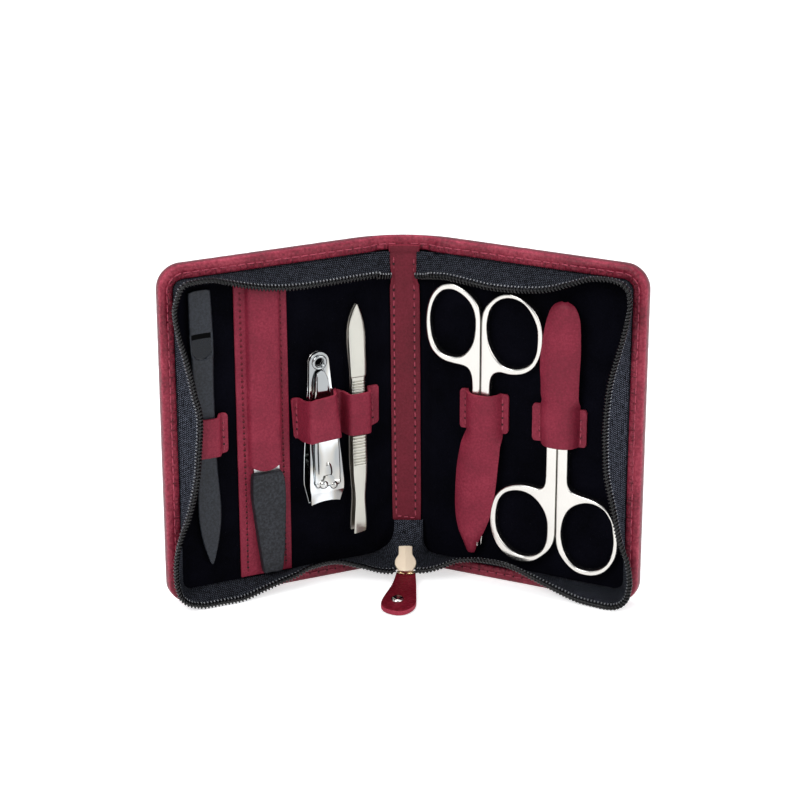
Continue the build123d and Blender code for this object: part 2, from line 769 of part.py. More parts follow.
def spine_leather():
    """The curved back, with a rounded fold round each hinge axis."""
    half = leather_thickness / 2
    back = spine_band(-half, half, -hinge_x, hinge_x, 0, case_height)
    outer = cover_stack - lining_to_axis
    for side in (left, right):
        knuckle = Pos(side * hinge_x, hinge_y) * (Circle(outer) - Circle(knuckle_bore))
        inner_x, outer_x = side * (spine_half + 0.15), side * (hinge_x + outer)
        keep = area((inner_x, hinge_y + knuckle_drop), (outer_x, hinge_y + knuckle_drop),
                    (outer_x, 1), (inner_x, 1))
        back += extrude(knuckle & keep, amount=case_height)
    return back


def strip_span():
    """The centre strip's left and right edges."""
    return strip_offset - strip_width / 2, strip_offset + strip_width / 2


# ---- slider and puller ----
def slider_frame(along, depth):
    """A point on the slider: along from its narrow end, depth below its upper face."""
    pitch = math.radians(slider_pitch)
    way_y, way_z = -math.cos(pitch), -math.sin(pitch)
    up_y, up_z = -math.sin(pitch), math.cos(pitch)
    return Vector(strip_offset, slider_tail_y + way_y * along - up_y * depth,
                  slider_tail_z + way_z * along - up_z * depth)


def slider_layer(outline, depth, thickness):
    """A slider outline, drawn as (x, along), solid below a depth."""
    pitch = math.radians(slider_pitch)
    down = (0, math.sin(pitch), -math.cos(pitch))
    frame = Plane(slider_frame(0, depth), x_dir=(1, 0, 0), z_dir=down)
    return extrude(frame * outline, amount=thickness)


def slider_plan():
    """Neck and round end."""
    neck = area((-slider_neck / 2, 0), (slider_neck / 2, 0), (slider_neck / 2, slider_neck_length),
                (-slider_neck / 2, slider_neck_length))
    return neck + Pos(0, slider_round_at) * Circle(slider_round)


def slider_body():
    """Two plates joined by the divider post, with the puller's eye at the front."""
    lower = slider_plate + slider_channel
    body = slider_layer(slider_plan(), 0, slider_plate)
    body += slider_layer(slider_plan(), lower, slider_plate)
    post = area((-slider_post / 2, 6.6), (slider_post / 2, 6.6), (slider_post / 2, 9.6),
                (-slider_post / 2, 9.6))
    body += slider_layer(post, slider_plate, slider_channel)
    centre = slider_frame(eye_at, eye_depth)
    disc = Plane(centre - Vector(eye_width / 2, 0, 0), x_dir=(0, 1, 0), z_dir=(1, 0, 0))
    lug = extrude(disc * Circle(eye_radius), amount=eye_width)
    root = slider_frame(slider_round_at + 2.2, eye_depth + slider_plate / 4)
    reach = centre - root
    arm = Plane(root - Vector(eye_width / 2, 0, 0), x_dir=(reach.X, reach.Y, reach.Z), z_dir=(1, 0, 0))
    web = Pos(reach.length / 2, 0) * Rectangle(reach.length, 1.0)
    lug += extrude(arm * web, amount=eye_width)
    hole = puller_place(Rot(0, 90, 0) * Cylinder(bail_wire + bail_clearance, 2 * eye_width))
    return body + lug - hole


def puller_place(shape):
    """Move a puller piece, drawn with its length along -Y from the bail's bar, into place."""
    return Pos(slider_frame(eye_at, eye_depth)) * Rot(puller_pitch, 0, 0) * Rot(0, 0, -puller_yaw) * shape


def bail():
    """The wire ring between the slider's eye and the leather."""
    path = Pos(0, -bail_length / 2) * RectangleRounded(bail_width, bail_length, 0.9)
    wire = path.faces()[0].outer_wire()
    start = wire @ 0
    section = Plane(start, z_dir=wire % 0) * Circle(bail_wire)
    return sweep(section, path=wire)


def puller_leather():
    """The teardrop tab, folded round the bail's front bar."""
    end_y = -puller_start - puller_length + puller_end_radius
    half = puller_root_width / 2
    right_edge = Spline((half, -puller_start), (half + 0.7, -puller_start - 4), (puller_end_radius, end_y),
                        tangents=[(0, -1), (0, -1)])
    left_edge = Spline((-half, -puller_start), (-half - 0.7, -puller_start - 4),
                       (-puller_end_radius, end_y), tangents=[(0, -1), (0, -1)])
    tip = ThreePointArc(left_edge @ 1, (0, end_y - puller_end_radius), right_edge @ 1)
    root = Line(left_edge @ 0, right_edge @ 0)
    sheet = make_face([root, right_edge, tip, left_edge])
    tab = extrude(Pos(0, 0, -puller_thickness / 2) * sheet, amount=puller_thickness)
    tab -= bail()
    return tab - Pos(0, -rivet_at, 0) * Cylinder(rivet_post, puller_thickness * 2)


def rivet():
    """Domed cap, post and flat back."""
    half = puller_thickness / 2
    ball_radius = (rivet_radius ** 2 + rivet_dome ** 2) / (2 * rivet_dome)
    cap = Pos(0, 0, half + rivet_dome - ball_radius) * Sphere(ball_radius)
    cap &= Pos(0, 0, half + rivet_dome / 2) * Cylinder(rivet_radius, rivet_dome)
    post = Cylinder(rivet_post, puller_thickness)
    back = Pos(0, 0, -half - rivet_back / 2) * Cylinder(rivet_radius * 0.8, rivet_back)
    return Pos(0, -rivet_at, 0) * (cap + post + back)


def zip_tail():
    """The closed end of the zip, from the spine's lining into the slider."""
    middle = slider_plate + slider_channel / 2 - tail_thickness / 2
    back = -(-slider_tail_y) / math.cos(math.radians(slider_pitch))
    outline = area((-tail_width / 2, back), (tail_width / 2, back), (tail_tip_width / 2, -1.0),
                   (tail_tip_width / 2, tail_in_slider), (-tail_tip_width / 2, tail_in_slider),
                   (-tail_tip_width / 2, -1.0))
    tail = slider_layer(outline, middle, tail_thickness)
    front = spine_band(-spine_radius / 2, -leather_thickness / 2 - spine_lining_thickness, -20, 20,
                       0, case_height)
    reach = Pos(0, -spine_radius, 0) * Cylinder(
        spine_radius - leather_thickness / 2 - spine_lining_thickness, 2 * case_height)
    return tail & reach


def zip_stub(side):
    """The short run of coil between the slider's mouth and a cover's tape."""
    start = slider_frame(slider_round_at + 1.2, slider_plate + slider_channel / 2)
    first = start + Vector(side * (slider_round + stub_gap), 0, 0)
    reach = stub_end - abs(first.X)
    return extrude(Plane(first, z_dir=(side, 0, 0)) * Circle(coil_radius), amount=reach)


# ---- write the nodes ----
def write_covers():
    """Both covers' shells, linings, rims and zips."""
    for side, name in ((left, "left"), (right, "right")):
        save(f"{name}_cover_leather", on_cover(side, cover_leather()))
        save(f"{name}_cover_board", on_cover(side, cover_board()))
        save(f"{name}_lining", on_cover(side, cover_lining()))
        save(f"{name}_rim", on_cover(side, cover_rim()))
        save(f"{name}_zip_tape", on_cover(side, ribbon(tape_section, 0)))
        save(f"{name}_zip_coil", on_cover(side, ribbon(coil_section, mouth_share + rise_share)))


def write_spine():
    """The spine, its lining, rims, strip and the zip's ends."""
    inside = -leather_thickness / 2
    lined = inside - spine_lining_thickness
    strip_left, strip_right = strip_span()
    rim_face = inside - leather_thickness
    save("spine_leather", spine_leather())
    save("spine_lining", spine_band(lined, inside, -spine_half, spine_half, rim_width,
                                    case_height - rim_width))
    save("spine_bottom_rim", spine_band(rim_face, inside, -spine_half, spine_half, 0, rim_width))
    save("spine_top_rim", spine_band(rim_face, inside, -spine_half, spine_half,
                                     case_height - rim_width, case_height))
    save("centre_strip", spine_band(lined - strip_thickness, lined, strip_left, strip_right,
                                    strip_foot, case_height - rim_width))
    top = case_height - rim_width
    save("zip_top_ends",
         spine_band(lined - top_end_thickness, lined, -spine_half, strip_left, top - top_end_height, top),
         spine_band(lined - top_end_thickness, lined, strip_right, spine_half, top - top_end_height, top))
    save("zip_tail", zip_tail())
    save("zip_bottom_ends", zip_stub(left), zip_stub(right))


def write_slider():
    """The slider and its puller."""
    save("slider_body", slider_body())
    save("puller_bail", puller_place(bail()))
    save("puller_leather", puller_place(puller_leather()))
    save("puller_rivet", puller_place(rivet()))


def write_left_tools():
    """Loops and tools of the left cover."""
    save("pusher_loop", on_cover(left, pusher_loop()))
    save("cuticle_pusher", on_cover(left, turned(pusher(), pusher_tilt, pusher_a, case_height / 2)))
    save("pocket_strip", on_cover(left, pocket_strip()))
    save("pocket_sheath", on_cover(left, pocket_sheath()))
    save("nail_file_blade", on_cover(left, file_blade()))
    save("nail_file_handle", on_cover(left, file_handle()))
    save("clipper_tweezer_loop", on_cover(left, double_loop()))
    pieces = {"clipper_lower_arm": clipper_lower(), "clipper_upper_arm": clipper_upper(),
              "clipper_lever": clipper_lever(), "clipper_pin": clipper_pin(),
              "clipper_eyelet": clipper_eyelet()}
    for name, piece in pieces.items():
        save(name, on_cover(left, turned(piece, clipper_tilt, clipper_a, case_height / 2)))
    save("tweezers_back_leg", on_cover(left, tweezers_back()))
    save("tweezers_front_leg", on_cover(left, tweezers_front()))


def write_right_tools():
    """Sheaths and scissors of the right cover."""
    save("nail_scissors_sheath", on_cover(right, nail_sheath()))
    save("cuticle_scissors_sheath", on_cover(right, cuticle_sheath()))
    nail = (nail_a, nail_pivot_z, nail_tip_z, nail_shank_half, nail_blade_half)
    save("nail_scissors_right_half", on_cover(right, scissors_half(*nail, nail_right_ring, 1, 0)))
    save("nail_scissors_left_half", on_cover(right, scissors_half(*nail, nail_left_ring, -1, 1)))
    save("nail_scissors_screw", on_cover(right, scissors_screw(nail_a, nail_pivot_z)))
    cuticle = (cuticle_a, cuticle_pivot_z, cuticle_tip_z, cuticle_shank_half, cuticle_blade_half)
    save("cuticle_scissors_left_half", on_cover(right, scissors_half(*cuticle, cuticle_left_ring, -1, 0)))
    save("cuticle_scissors_right_half", on_cover(right, scissors_half(*cuticle, cuticle_right_ring, 1, 1)))
    save("cuticle_scissors_screw", on_cover(right, scissors_screw(cuticle_a, cuticle_pivot_z)))


write_covers()
write_spine()
write_slider()
write_left_tools()
write_right_tools()
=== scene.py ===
import bpy
import math
import random
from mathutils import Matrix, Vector, noise


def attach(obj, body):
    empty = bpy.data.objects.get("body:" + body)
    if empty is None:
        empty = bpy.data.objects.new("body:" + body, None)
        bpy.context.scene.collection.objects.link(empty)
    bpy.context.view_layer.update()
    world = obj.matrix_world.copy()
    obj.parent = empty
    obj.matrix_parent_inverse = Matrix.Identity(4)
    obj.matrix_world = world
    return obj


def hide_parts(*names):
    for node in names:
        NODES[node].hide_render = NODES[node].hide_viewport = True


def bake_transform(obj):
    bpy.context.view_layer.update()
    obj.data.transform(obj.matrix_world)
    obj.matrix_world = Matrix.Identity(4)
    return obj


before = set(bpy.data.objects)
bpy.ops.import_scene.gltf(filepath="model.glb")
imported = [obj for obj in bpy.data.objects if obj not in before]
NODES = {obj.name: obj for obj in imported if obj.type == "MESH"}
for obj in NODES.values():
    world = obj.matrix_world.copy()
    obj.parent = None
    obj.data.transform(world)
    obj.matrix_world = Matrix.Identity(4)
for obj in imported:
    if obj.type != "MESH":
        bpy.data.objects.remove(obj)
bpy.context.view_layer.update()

MM = 0.001
LEFT, RIGHT = -1, 1
SIDE_NAME = {LEFT: "left", RIGHT: "right"}

# ---- the case's own sizes, in millimetres ----
HEIGHT = 118.0
WIDTH = 75.4
REST = math.radians(24.4)
COS, SIN = math.cos(REST), math.sin(REST)
HINGE_X, HINGE_Y = 9.0, -2.47
SPINE_R = 41.15
ARC = SPINE_R * REST
A_TO_S = ARC - 7.786          # a + this = distance along the leather's middle from the spine's middle
S_MAX = WIDTH + A_TO_S
CORNER = 8.0
FOOT = 4.9


def cover(side, a, n, z):
    """A point on a cover: a from its hinge axis, n above its lining."""
    return Vector((side * (HINGE_X + a * COS - (n + 1) * SIN), HINGE_Y - a * SIN - (n + 1) * COS, z)) * MM


def hide_at(side, s, h, z):
    """A point on the bent leather: s along it from the spine's middle, h above its middle."""
    if s < ARC:
        turn, r = s / SPINE_R, SPINE_R - h
        return Vector((side * r * math.sin(turn), r * math.cos(turn) - SPINE_R, z)) * MM
    x, y = SPINE_R * SIN, SPINE_R * COS - SPINE_R
    run = s - ARC
    return Vector((side * (x + run * COS - h * SIN), y - run * SIN - h * COS, z)) * MM


def smooth(low, high, value):
    """0 below low, 1 above high, eased between."""
    t = min(1.0, max(0.0, (value - low) / (high - low)))
    return t * t * (3 - 2 * t)


def mix(a, b, t):
    return a + (b - a) * t


def catmull(points, steps, closed=False):
    """Smooth curve through points (tuples of any size)."""
    out, n = [], len(points)
    spans = n if closed else n - 1
    for i in range(spans):
        if closed:
            p = [points[(i + k) % n] for k in (-1, 0, 1, 2)]
        else:
            p = [points[min(max(i + k, 0), n - 1)] for k in (-1, 0, 1, 2)]
        for j in range(steps):
            t = j / steps
            out.append(tuple(0.5 * (2 * b + (c - a) * t + (2 * a - 5 * b + 4 * c - d) * t * t
                                    + (3 * b - a - 3 * c + d) * t ** 3) for a, b, c, d in zip(*p)))
    if not closed:
        out.append(tuple(points[-1]))
    return out


def table_at(pairs, x):
    """Read a list of (x, value) pairs with straight steps."""
    for (x0, y0), (x1, y1) in zip(pairs, pairs[1:]):
        if x <= x1:
            return mix(y0, y1, (x - x0) / (x1 - x0)) if x > x0 else y0
    return pairs[-1][1]


# ---- mesh helpers ----
def mesh_object(name, verts, faces, material, smooth_shade=True):
    data = bpy.data.meshes.new(name)
    data.from_pydata([tuple(v) for v in verts], [], faces)
    data.validate()
    data.update()
    if smooth_shade:
        data.polygons.foreach_set("use_smooth", [True] * len(data.polygons))
    obj = bpy.data.objects.new(name, data)
    bpy.context.scene.collection.objects.link(obj)
    if material:
        obj.data.materials.append(material)
    return obj


def grid_faces(rows, cols, close_rows=False, close_cols=False, flip=False, start=0):
    faces = []
    for i in range(rows if close_rows else rows - 1):
        for j in range(cols if close_cols else cols - 1):
            i2, j2 = (i + 1) % rows, (j + 1) % cols
            quad = (start + i * cols + j, start + i2 * cols + j, start + i2 * cols + j2, start + i * cols + j2)
            faces.append(quad[::-1] if flip else quad)
    return faces


def add_uv(obj, values):
    """UV map from one (u, v) pair per vertex."""
    layer = obj.data.uv_layers.new(name="UVMap")
    for loop in obj.data.loops:
        layer.data[loop.index].uv = values[loop.vertex_index]


def modifier(obj, kind, **settings):
    mod = obj.modifiers.new(kind.title(), kind)
    for key, value in settings.items():
        setattr(mod, key, value)
    return mod


def apply_all(obj):
    """Bake the modifiers into the mesh."""
    graph = bpy.context.evaluated_depsgraph_get()
    graph.update()
    data = bpy.data.meshes.new_from_object(obj.evaluated_get(graph))
    obj.modifiers.clear()
    obj.data = data
    return obj


def apply_smooth(obj):
    """Bake the modifiers and shade every face smooth."""
    apply_all(obj)
    obj.data.polygons.foreach_set("use_smooth", [True] * len(obj.data.polygons))
    obj.data.update()
    return obj


def soften(obj, width, segments=2, degrees=50, **settings):
    """Round the edges that are sharper than an angle; width in millimetres."""
    modifier(obj, "BEVEL", width=width * MM, segments=segments, limit_method="ANGLE",
             angle_limit=math.radians(degrees), **settings)


def flat_shape(name, outlines, thickness, bevel, material, steps=3):
    """Outlines in the (x, y) plane, filled, with rounded edges; holes are outlines inside others.

    In millimetres, centred on z 0."""
    curve = bpy.data.curves.new(name, "CURVE")
    curve.dimensions = "2D"
    curve.fill_mode = "BOTH"
    for points in outlines:
        spline = curve.splines.new("POLY")
        spline.points.add(len(points) - 1)
        for target, (x, y) in zip(spline.points, points):
            target.co = (x, y, 0, 1)
        spline.use_cyclic_u = True
    curve.extrude = thickness / 2 - bevel
    curve.bevel_depth = bevel
    curve.bevel_resolution = steps
    curve.offset = -bevel
    temp = bpy.data.objects.new(name, curve)
    bpy.context.scene.collection.objects.link(temp)
    graph = bpy.context.evaluated_depsgraph_get()
    graph.update()
    data = bpy.data.meshes.new_from_object(temp.evaluated_get(graph))
    bpy.data.objects.remove(temp)
    obj = bpy.data.objects.new(name, data)
    bpy.context.scene.collection.objects.link(obj)
    obj.data.materials.clear()
    obj.data.materials.append(material)
    modifier(obj, "WELD", merge_threshold=0.004)
    return apply_smooth(obj)


def seat(obj, move):
    """Send every vertex (x, y, z in millimetres) through move(x, y, z)."""
    for v in obj.data.vertices:
        v.co = move(*v.co)
    obj.data.update()
    return obj


def tube(points, radius, sides=8, closed=False, caps=True):
    """Verts and faces of a round tube through points in metres; radius in metres or one per point."""
    count = len(points)
    verts, faces = [], []
    frame_up = None
    for i, p in enumerate(points):
        ahead = points[(i + 1) % count] if closed or i < count - 1 else points[i]
        behind = points[i - 1] if closed or i > 0 else points[i]
        way = (Vector(ahead) - Vector(behind)).normalized()
        if frame_up is None:
            frame_up = way.orthogonal().normalized()
        frame_up = (frame_up - way * frame_up.dot(way)).normalized()
        other = way.cross(frame_up)
        r = radius[i] if isinstance(radius, (list, tuple)) else radius
        for k in range(sides):
            t = 2 * math.pi * k / sides
            verts.append(Vector(p) + (frame_up * math.cos(t) + other * math.sin(t)) * r)
    faces = grid_faces(count, sides, close_rows=closed, close_cols=True)
    if caps and not closed:
        faces.append(tuple(range(sides))[::-1])
        faces.append(tuple(range((count - 1) * sides, count * sides)))
    return verts, faces


def gather(parts):
    """Join (verts, faces) pairs."""
    verts, faces = [], []
    for v, f in parts:
        base = len(verts)
        verts += list(v)
        faces += [tuple(base + i for i in face) for face in f]
    return verts, faces


# ---- materials ----
WHITE, GREY = (1.0, 1.0, 1.0), (0.42, 0.44, 0.47)


class Nodes:
    """Short ways to build a node tree."""

    def __init__(self, tree):
        self.tree = tree

    def node(self, kind, settings=None, **inputs):
        made = self.tree.nodes.new(kind)
        for key, value in (settings or {}).items():
            setattr(made, key, value)
        for key, value in inputs.items():
            socket = made.inputs[int(key[1:])] if key[0] == "i" and key[1:].isdigit() else made.inputs[key]
            if isinstance(value, bpy.types.NodeSocket):
                self.tree.links.new(value, socket)
            else:
                socket.default_value = value
        return made

    def coords(self, scale=(1, 1, 1), source="Object"):
        texture = self.node("ShaderNodeTexCoord")
        mapping = self.node("ShaderNodeMapping", Vector=texture.outputs[source], Scale=scale)
        return mapping.outputs[0]

    def noise(self, scale, detail=3.0, rough=0.55, stretch=(1, 1, 1), source="Object"):
        return self.node("ShaderNodeTexNoise", Vector=self.coords(stretch, source), Scale=scale, Detail=detail,
                         Roughness=rough).outputs[0]

    def cells(self, scale, feature="F1", stretch=(1, 1, 1)):
        return self.node("ShaderNodeTexVoronoi", {"feature": feature}, Vector=self.coords(stretch),
                         Scale=scale).outputs["Distance"]

    def math(self, kind, a, b=0.0):
        return self.node("ShaderNodeMath", {"operation": kind}, i0=a, i1=b).outputs[0]

    def ramp(self, value, stops):
        ramp = self.node("ShaderNodeValToRGB", Fac=value)
        marks = ramp.color_ramp.elements
        for mark, (at, color) in zip(marks, (stops[0], stops[-1])):
            mark.position, mark.color = at, (*color, 1)
        for at, color in stops[1:-1]:
            marks.new(at).color = (*color, 1)
        return ramp.outputs[0]

    def scaled(self, value, factor, offset):
        return self.math("ADD", self.math("MULTIPLY", value, factor), offset)

    def weighted(self, a, share_a, b, share_b):
        return self.math("ADD", self.math("MULTIPLY", a, share_a), self.math("MULTIPLY", b, share_b))

    def blend(self, first, second, factor, kind="MIX"):
        return self.node("ShaderNodeMix", {"data_type": "RGBA", "blend_type": kind}, Factor=factor, i6=first,
                         i7=second).outputs[2]


class Shade(Nodes):
    """A procedural material on a Principled surface."""

    def __init__(self, name, color, rough, metal=0.0, **sockets):
        self.material = bpy.data.materials.new(name)
        self.material.use_nodes = True
        super().__init__(self.material.node_tree)
        self.surface = self.tree.nodes["Principled BSDF"]
        self.surface.inputs["Base Color"].default_value = (*color, 1)
        self.surface.inputs["Roughness"].default_value = rough
        self.surface.inputs["Metallic"].default_value = metal
        for key, value in sockets.items():
            self.surface.inputs[key.replace("_", " ")].default_value = value
        self.material.diffuse_color = (*color, 1)

    def bump(self, height, depth, strength=1.0):
        """depth in metres."""
        made = self.node("ShaderNodeBump", Height=height, Distance=depth, Strength=strength)
        old = self.surface.inputs["Normal"]
        if old.is_linked:
            self.tree.links.new(old.links[0].from_socket, made.inputs["Normal"])
        self.tree.links.new(made.outputs[0], old)
        return made

    def drive(self, socket, value):
        self.tree.links.new(value, self.surface.inputs[socket])

    def tint(self, color, factor=1.0):
        """Multiply the base colour."""
        base = self.surface.inputs["Base Color"].links[0].from_socket
        self.drive("Base Color", self.blend(base, color, factor, "MULTIPLY"))


def leather(name, base, low, high, rough=0.42, grain=1100.0, depth=0.00012, wrinkle=0.0, gloss=0.25):
    shade = Shade(name, base, rough, Specular_IOR_Level=gloss)
    blotch = shade.noise(90.0, 4.0)
    pores = shade.cells(grain)
    fine = shade.noise(grain * 1.1, 3.0, 0.65)
    tone = shade.weighted(blotch, 0.5, fine, 0.6)
    shade.drive("Base Color", shade.ramp(tone, [(0.4, low), (0.55, base), (0.72, high)]))
    shade.drive("Roughness", shade.scaled(blotch, 0.25, rough - 0.12))
    shade.bump(pores, depth, 0.7)
    shade.bump(fine, depth * 1.2, 0.7)
    if wrinkle:
        across = shade.node("ShaderNodeSeparateXYZ", Vector=shade.coords((1, 1, 1), "UV")).outputs[1]
        inner = shade.node("ShaderNodeMapRange", Value=across, i1=1.9, i2=3.0).outputs[0]
        raw = shade.noise(1.0, 3.0, 0.6, (0.95, 0.3, 1.0), "UV")
        creases = shade.math("ADD", shade.math("MULTIPLY", shade.math("SUBTRACT", raw, 0.5), inner), 0.5)
        shade.bump(creases, wrinkle, 1.0)
        # painted shade: the creases on the rim's inner half darken the base colour
        dark = shade.ramp(creases, [(0.38, (0.32, 0.30, 0.30)), (0.47, WHITE)])
        shade.tint(dark, 0.75)
        # painted highlight: a lighter band along the rim's outer edge, multiplied into the base colour
        shade.tint(shade.ramp(shade.math("MULTIPLY", across, 0.5), [(0.01, WHITE), (0.03, (1.55, 1.9, 1.8)),
                                                                    (0.12, (1.35, 1.6, 1.5)), (0.30, WHITE)]))
    return shade.material


def metal(name, base, rough, hairs=(1, 1, 1), hair_depth=0.00001, smudge=0.08, reflection_patches=None):
    """reflection_patches paints soft-edged darker zones into the base colour, as painted reflections of a room
    in a polished face.
    """
    shade = Shade(name, base, rough, 1.0)
    cloud = shade.noise(70.0, 3.0)
    hair = shade.noise(2600.0, 2.0, 0.5, hairs)
    shade.drive("Roughness", shade.scaled(cloud, smudge * 2, rough - smudge))
    shade.drive("Base Color", shade.ramp(cloud, [(0.3, tuple(c * 0.9 for c in base)), (0.7, base)]))
    # painted reflection: soft-edged darker zones and a tan patch in the base colour
    if reflection_patches:
        reflection_zone = shade.noise(95.0, 1.0, 0.4, (1.3, 1.3, 0.55))
        shade.drive("Base Color", shade.ramp(reflection_zone, [(0.40, tuple(c * 0.38 for c in base)), (0.46, reflection_patches),
                                                    (0.54, tuple(c * 0.8 for c in base)), (0.60, base)]))
    shade.bump(hair, hair_depth, 0.5)
    return shade.material


def velvet_material():
    shade = Shade("velvet", (0.002, 0.002, 0.003), 0.95, Specular_IOR_Level=0.02)
    pile = shade.noise(4200.0, 2.0)
    nap = shade.noise(55.0, 4.0)
    lint = shade.cells(700.0)
    speck = shade.math("LESS_THAN", lint, 0.035)
    tone = shade.weighted(nap, 0.5, pile, 0.5)
    dark = shade.ramp(tone, [(0.35, (0.0008, 0.0008, 0.0013)), (0.7, (0.0044, 0.0044, 0.0085))])
    shade.drive("Base Color", shade.blend(dark, (0.05, 0.05, 0.055, 1), speck))
    shade.bump(pile, 0.0003, 0.6)
    shade.bump(nap, 0.0008, 0.3)
    return shade.material


def tape_material():
    """Twill tape: the UV map runs along and across it in millimetres."""
    shade = Shade("zip_tape", (0.012, 0.013, 0.015), 0.85, Specular_IOR_Level=0.08)
    parts = shade.node("ShaderNodeSeparateXYZ", Vector=shade.coords((1, 1, 1), "UV"))
    along, across = parts.outputs[0], parts.outputs[1]
    zigzag = shade.math("PINGPONG", across, 0.7)
    slant = shade.math("MULTIPLY", shade.math("ADD", along, zigzag), 2 * math.pi / 0.75)
    ribs = shade.scaled(shade.math("SINE", slant), 0.5, 0.5)
    wales = shade.scaled(shade.math("SINE", shade.math("MULTIPLY", across, 2 * math.pi / 0.7)), 0.5, 0.5)
    weave = shade.math("MULTIPLY", ribs, shade.scaled(wales, 0.5, 0.5))
    fuzz = shade.noise(1150.0, 4.0, 0.7)
    tone = shade.weighted(weave, 0.42, fuzz, 0.68)
    shade.drive("Base Color",
        shade.ramp(tone,
            [(0.38, (0.0012, 0.0014, 0.002)), (0.46, (0.0045, 0.0052, 0.007)), (0.56, (0.03, 0.034, 0.049)),
             (0.68, (0.15, 0.165, 0.21))]))
    # painted shade: the tape is darkened near the case's foot and near its top
    height = shade.node("ShaderNodeSeparateXYZ", Vector=shade.coords()).outputs[2]
    level = shade.node("ShaderNodeMapRange", Value=height, i1=0.0, i2=0.12).outputs[0]
    shade.tint(shade.ramp(level, [(0.06, (0.42, 0.42, 0.42)), (0.18, WHITE), (0.80, WHITE),
                                  (0.87, (0.5, 0.5, 0.5))]))
    shade.bump(weave, 0.0002, 0.8)
    shade.bump(fuzz, 0.0001, 0.4)
    return shade.material


def matte(name, base, rough, grain=2500.0, depth=0.00003, spread=0.25, **sockets):
    shade = Shade(name, base, rough, **sockets)
    fine = shade.noise(grain, 3.0, 0.65)
    cloud = shade.noise(60.0, 3.0)
    tone = shade.weighted(fine, 0.75, cloud, 0.25)
    low = tuple(c * (1 - spread) for c in base)
    high = tuple(c * (1 + spread) for c in base)
    shade.drive("Base Color", shade.ramp(tone, [(0.4, low), (0.6, high)]))
    shade.drive("Roughness", shade.scaled(cloud, 0.16, rough - 0.08))
    shade.bump(fine, depth, 0.5)
    return shade.material


HIDE = leather("case_leather", (0.19, 0.012, 0.030), (0.11, 0.006, 0.017), (0.27, 0.022, 0.046), 0.42,
               950.0, 0.00014, gloss=0.35)
# the rim leather carries painted crease shade and a painted highlight along its outer edge
RIM_HIDE = leather("rim_leather", (0.23, 0.016, 0.036), (0.12, 0.006, 0.017), (0.36, 0.042, 0.072), 0.46,
                   900.0, 0.00016, 0.0014, gloss=0.3)
STRAP_HIDE = leather("strap_leather", (0.228, 0.018, 0.040), (0.170, 0.013, 0.029), (0.305, 0.032, 0.060), 0.54,
                     1250.0, 0.00014, gloss=0.22)
# painted shade: a darker copy of the strap leather for the centre strip on the spine
STRIP_HIDE_SHADED = leather("strip_leather_shaded", (0.135, 0.010, 0.021), (0.10, 0.006, 0.014), (0.18, 0.016, 0.032), 0.56,
                     1250.0, 0.00014, gloss=0.22)
CUT_EDGE = leather("leather_cut_edge", (0.36, 0.035, 0.065), (0.25, 0.018, 0.038), (0.46, 0.07, 0.10), 0.7,
                   2400.0, 0.00005, gloss=0.15)
VELVET = velvet_material()
TAPE = tape_material()
COIL = matte("zip_coil", (0.002, 0.002, 0.0025), 0.2, 1500.0, 0.00001, Specular_IOR_Level=0.36)
THREAD = matte("thread", (0.40, 0.065, 0.10), 0.65, 5000.0, 0.00004, 0.35, Specular_IOR_Level=0.2)
STEEL = metal("satin_steel", (0.70, 0.68, 0.64), 0.24, (0.06, 1, 1), 0.000008, 0.06)
# the chrome's last colour is the painted reflection in its darker zones
CHROME = metal("clipper_chrome", (0.85, 0.885, 0.90), 0.08, (1, 1, 1), 0.000002, 0.03, (0.46, 0.45, 0.42))
CHAMPAGNE = metal("slider_champagne", (0.83, 0.69, 0.525), 0.36, (1, 0.1, 1), 0.00001, 0.08)
GOLD = metal("gold_wire", (0.80, 0.62, 0.36), 0.2, (1, 1, 1), 0.000004, 0.05)
RIVET = metal("rivet_steel", (0.82, 0.80, 0.76), 0.08, (1, 1, 1), 0.000003, 0.03)
BLACK = matte("black_coating", (0.016, 0.019, 0.0255), 0.45, 1300.0, 0.00003, 0.45, Specular_IOR_Level=0.28)
GRIP = matte("grip_plastic", (0.019, 0.0205, 0.0255), 0.55, 1150.0, 0.00006, 0.6, Specular_IOR_Level=0.25)
SEAM_THREAD = matte("seam_thread", (0.15, 0.010, 0.022), 0.65, 5000.0, 0.00004, 0.35, Specular_IOR_Level=0.2)
SEW = matte("tape_thread", (0.32, 0.33, 0.35), 0.6, 3000.0, 0.00002, 0.3, Specular_IOR_Level=0.3)
FILE = metal("file_steel", (0.62, 0.62, 0.62), 0.35)
# painted shade: dark dots that stand in for the shadow in needle holes
NEEDLE_HOLE_SHADOW = matte("needle_hole_shadow", (0.02, 0.002, 0.004), 0.9)
BOARD = matte("board", (0.2, 0.16, 0.12), 0.9)


# ---- outer leather with its turned rim ----
RUN = S_MAX - CORNER
RISE = HEIGHT - 2 * CORNER
FOOT_STEPS, CORNER_STEPS, EDGE_STEPS = 84, 24, 104
OUTER = -0.6                  # the outer face, above the leather's middle


def rim_level(s):
    """Height of the turned rim above the leather's middle: thin over the spine, full on the board."""
    return mix(1.85, 3.8, smooth(7.0, 14.5, s))


def lining_level(s):
    return mix(1.2, 3.2, smooth(6.5, 12.0, s))


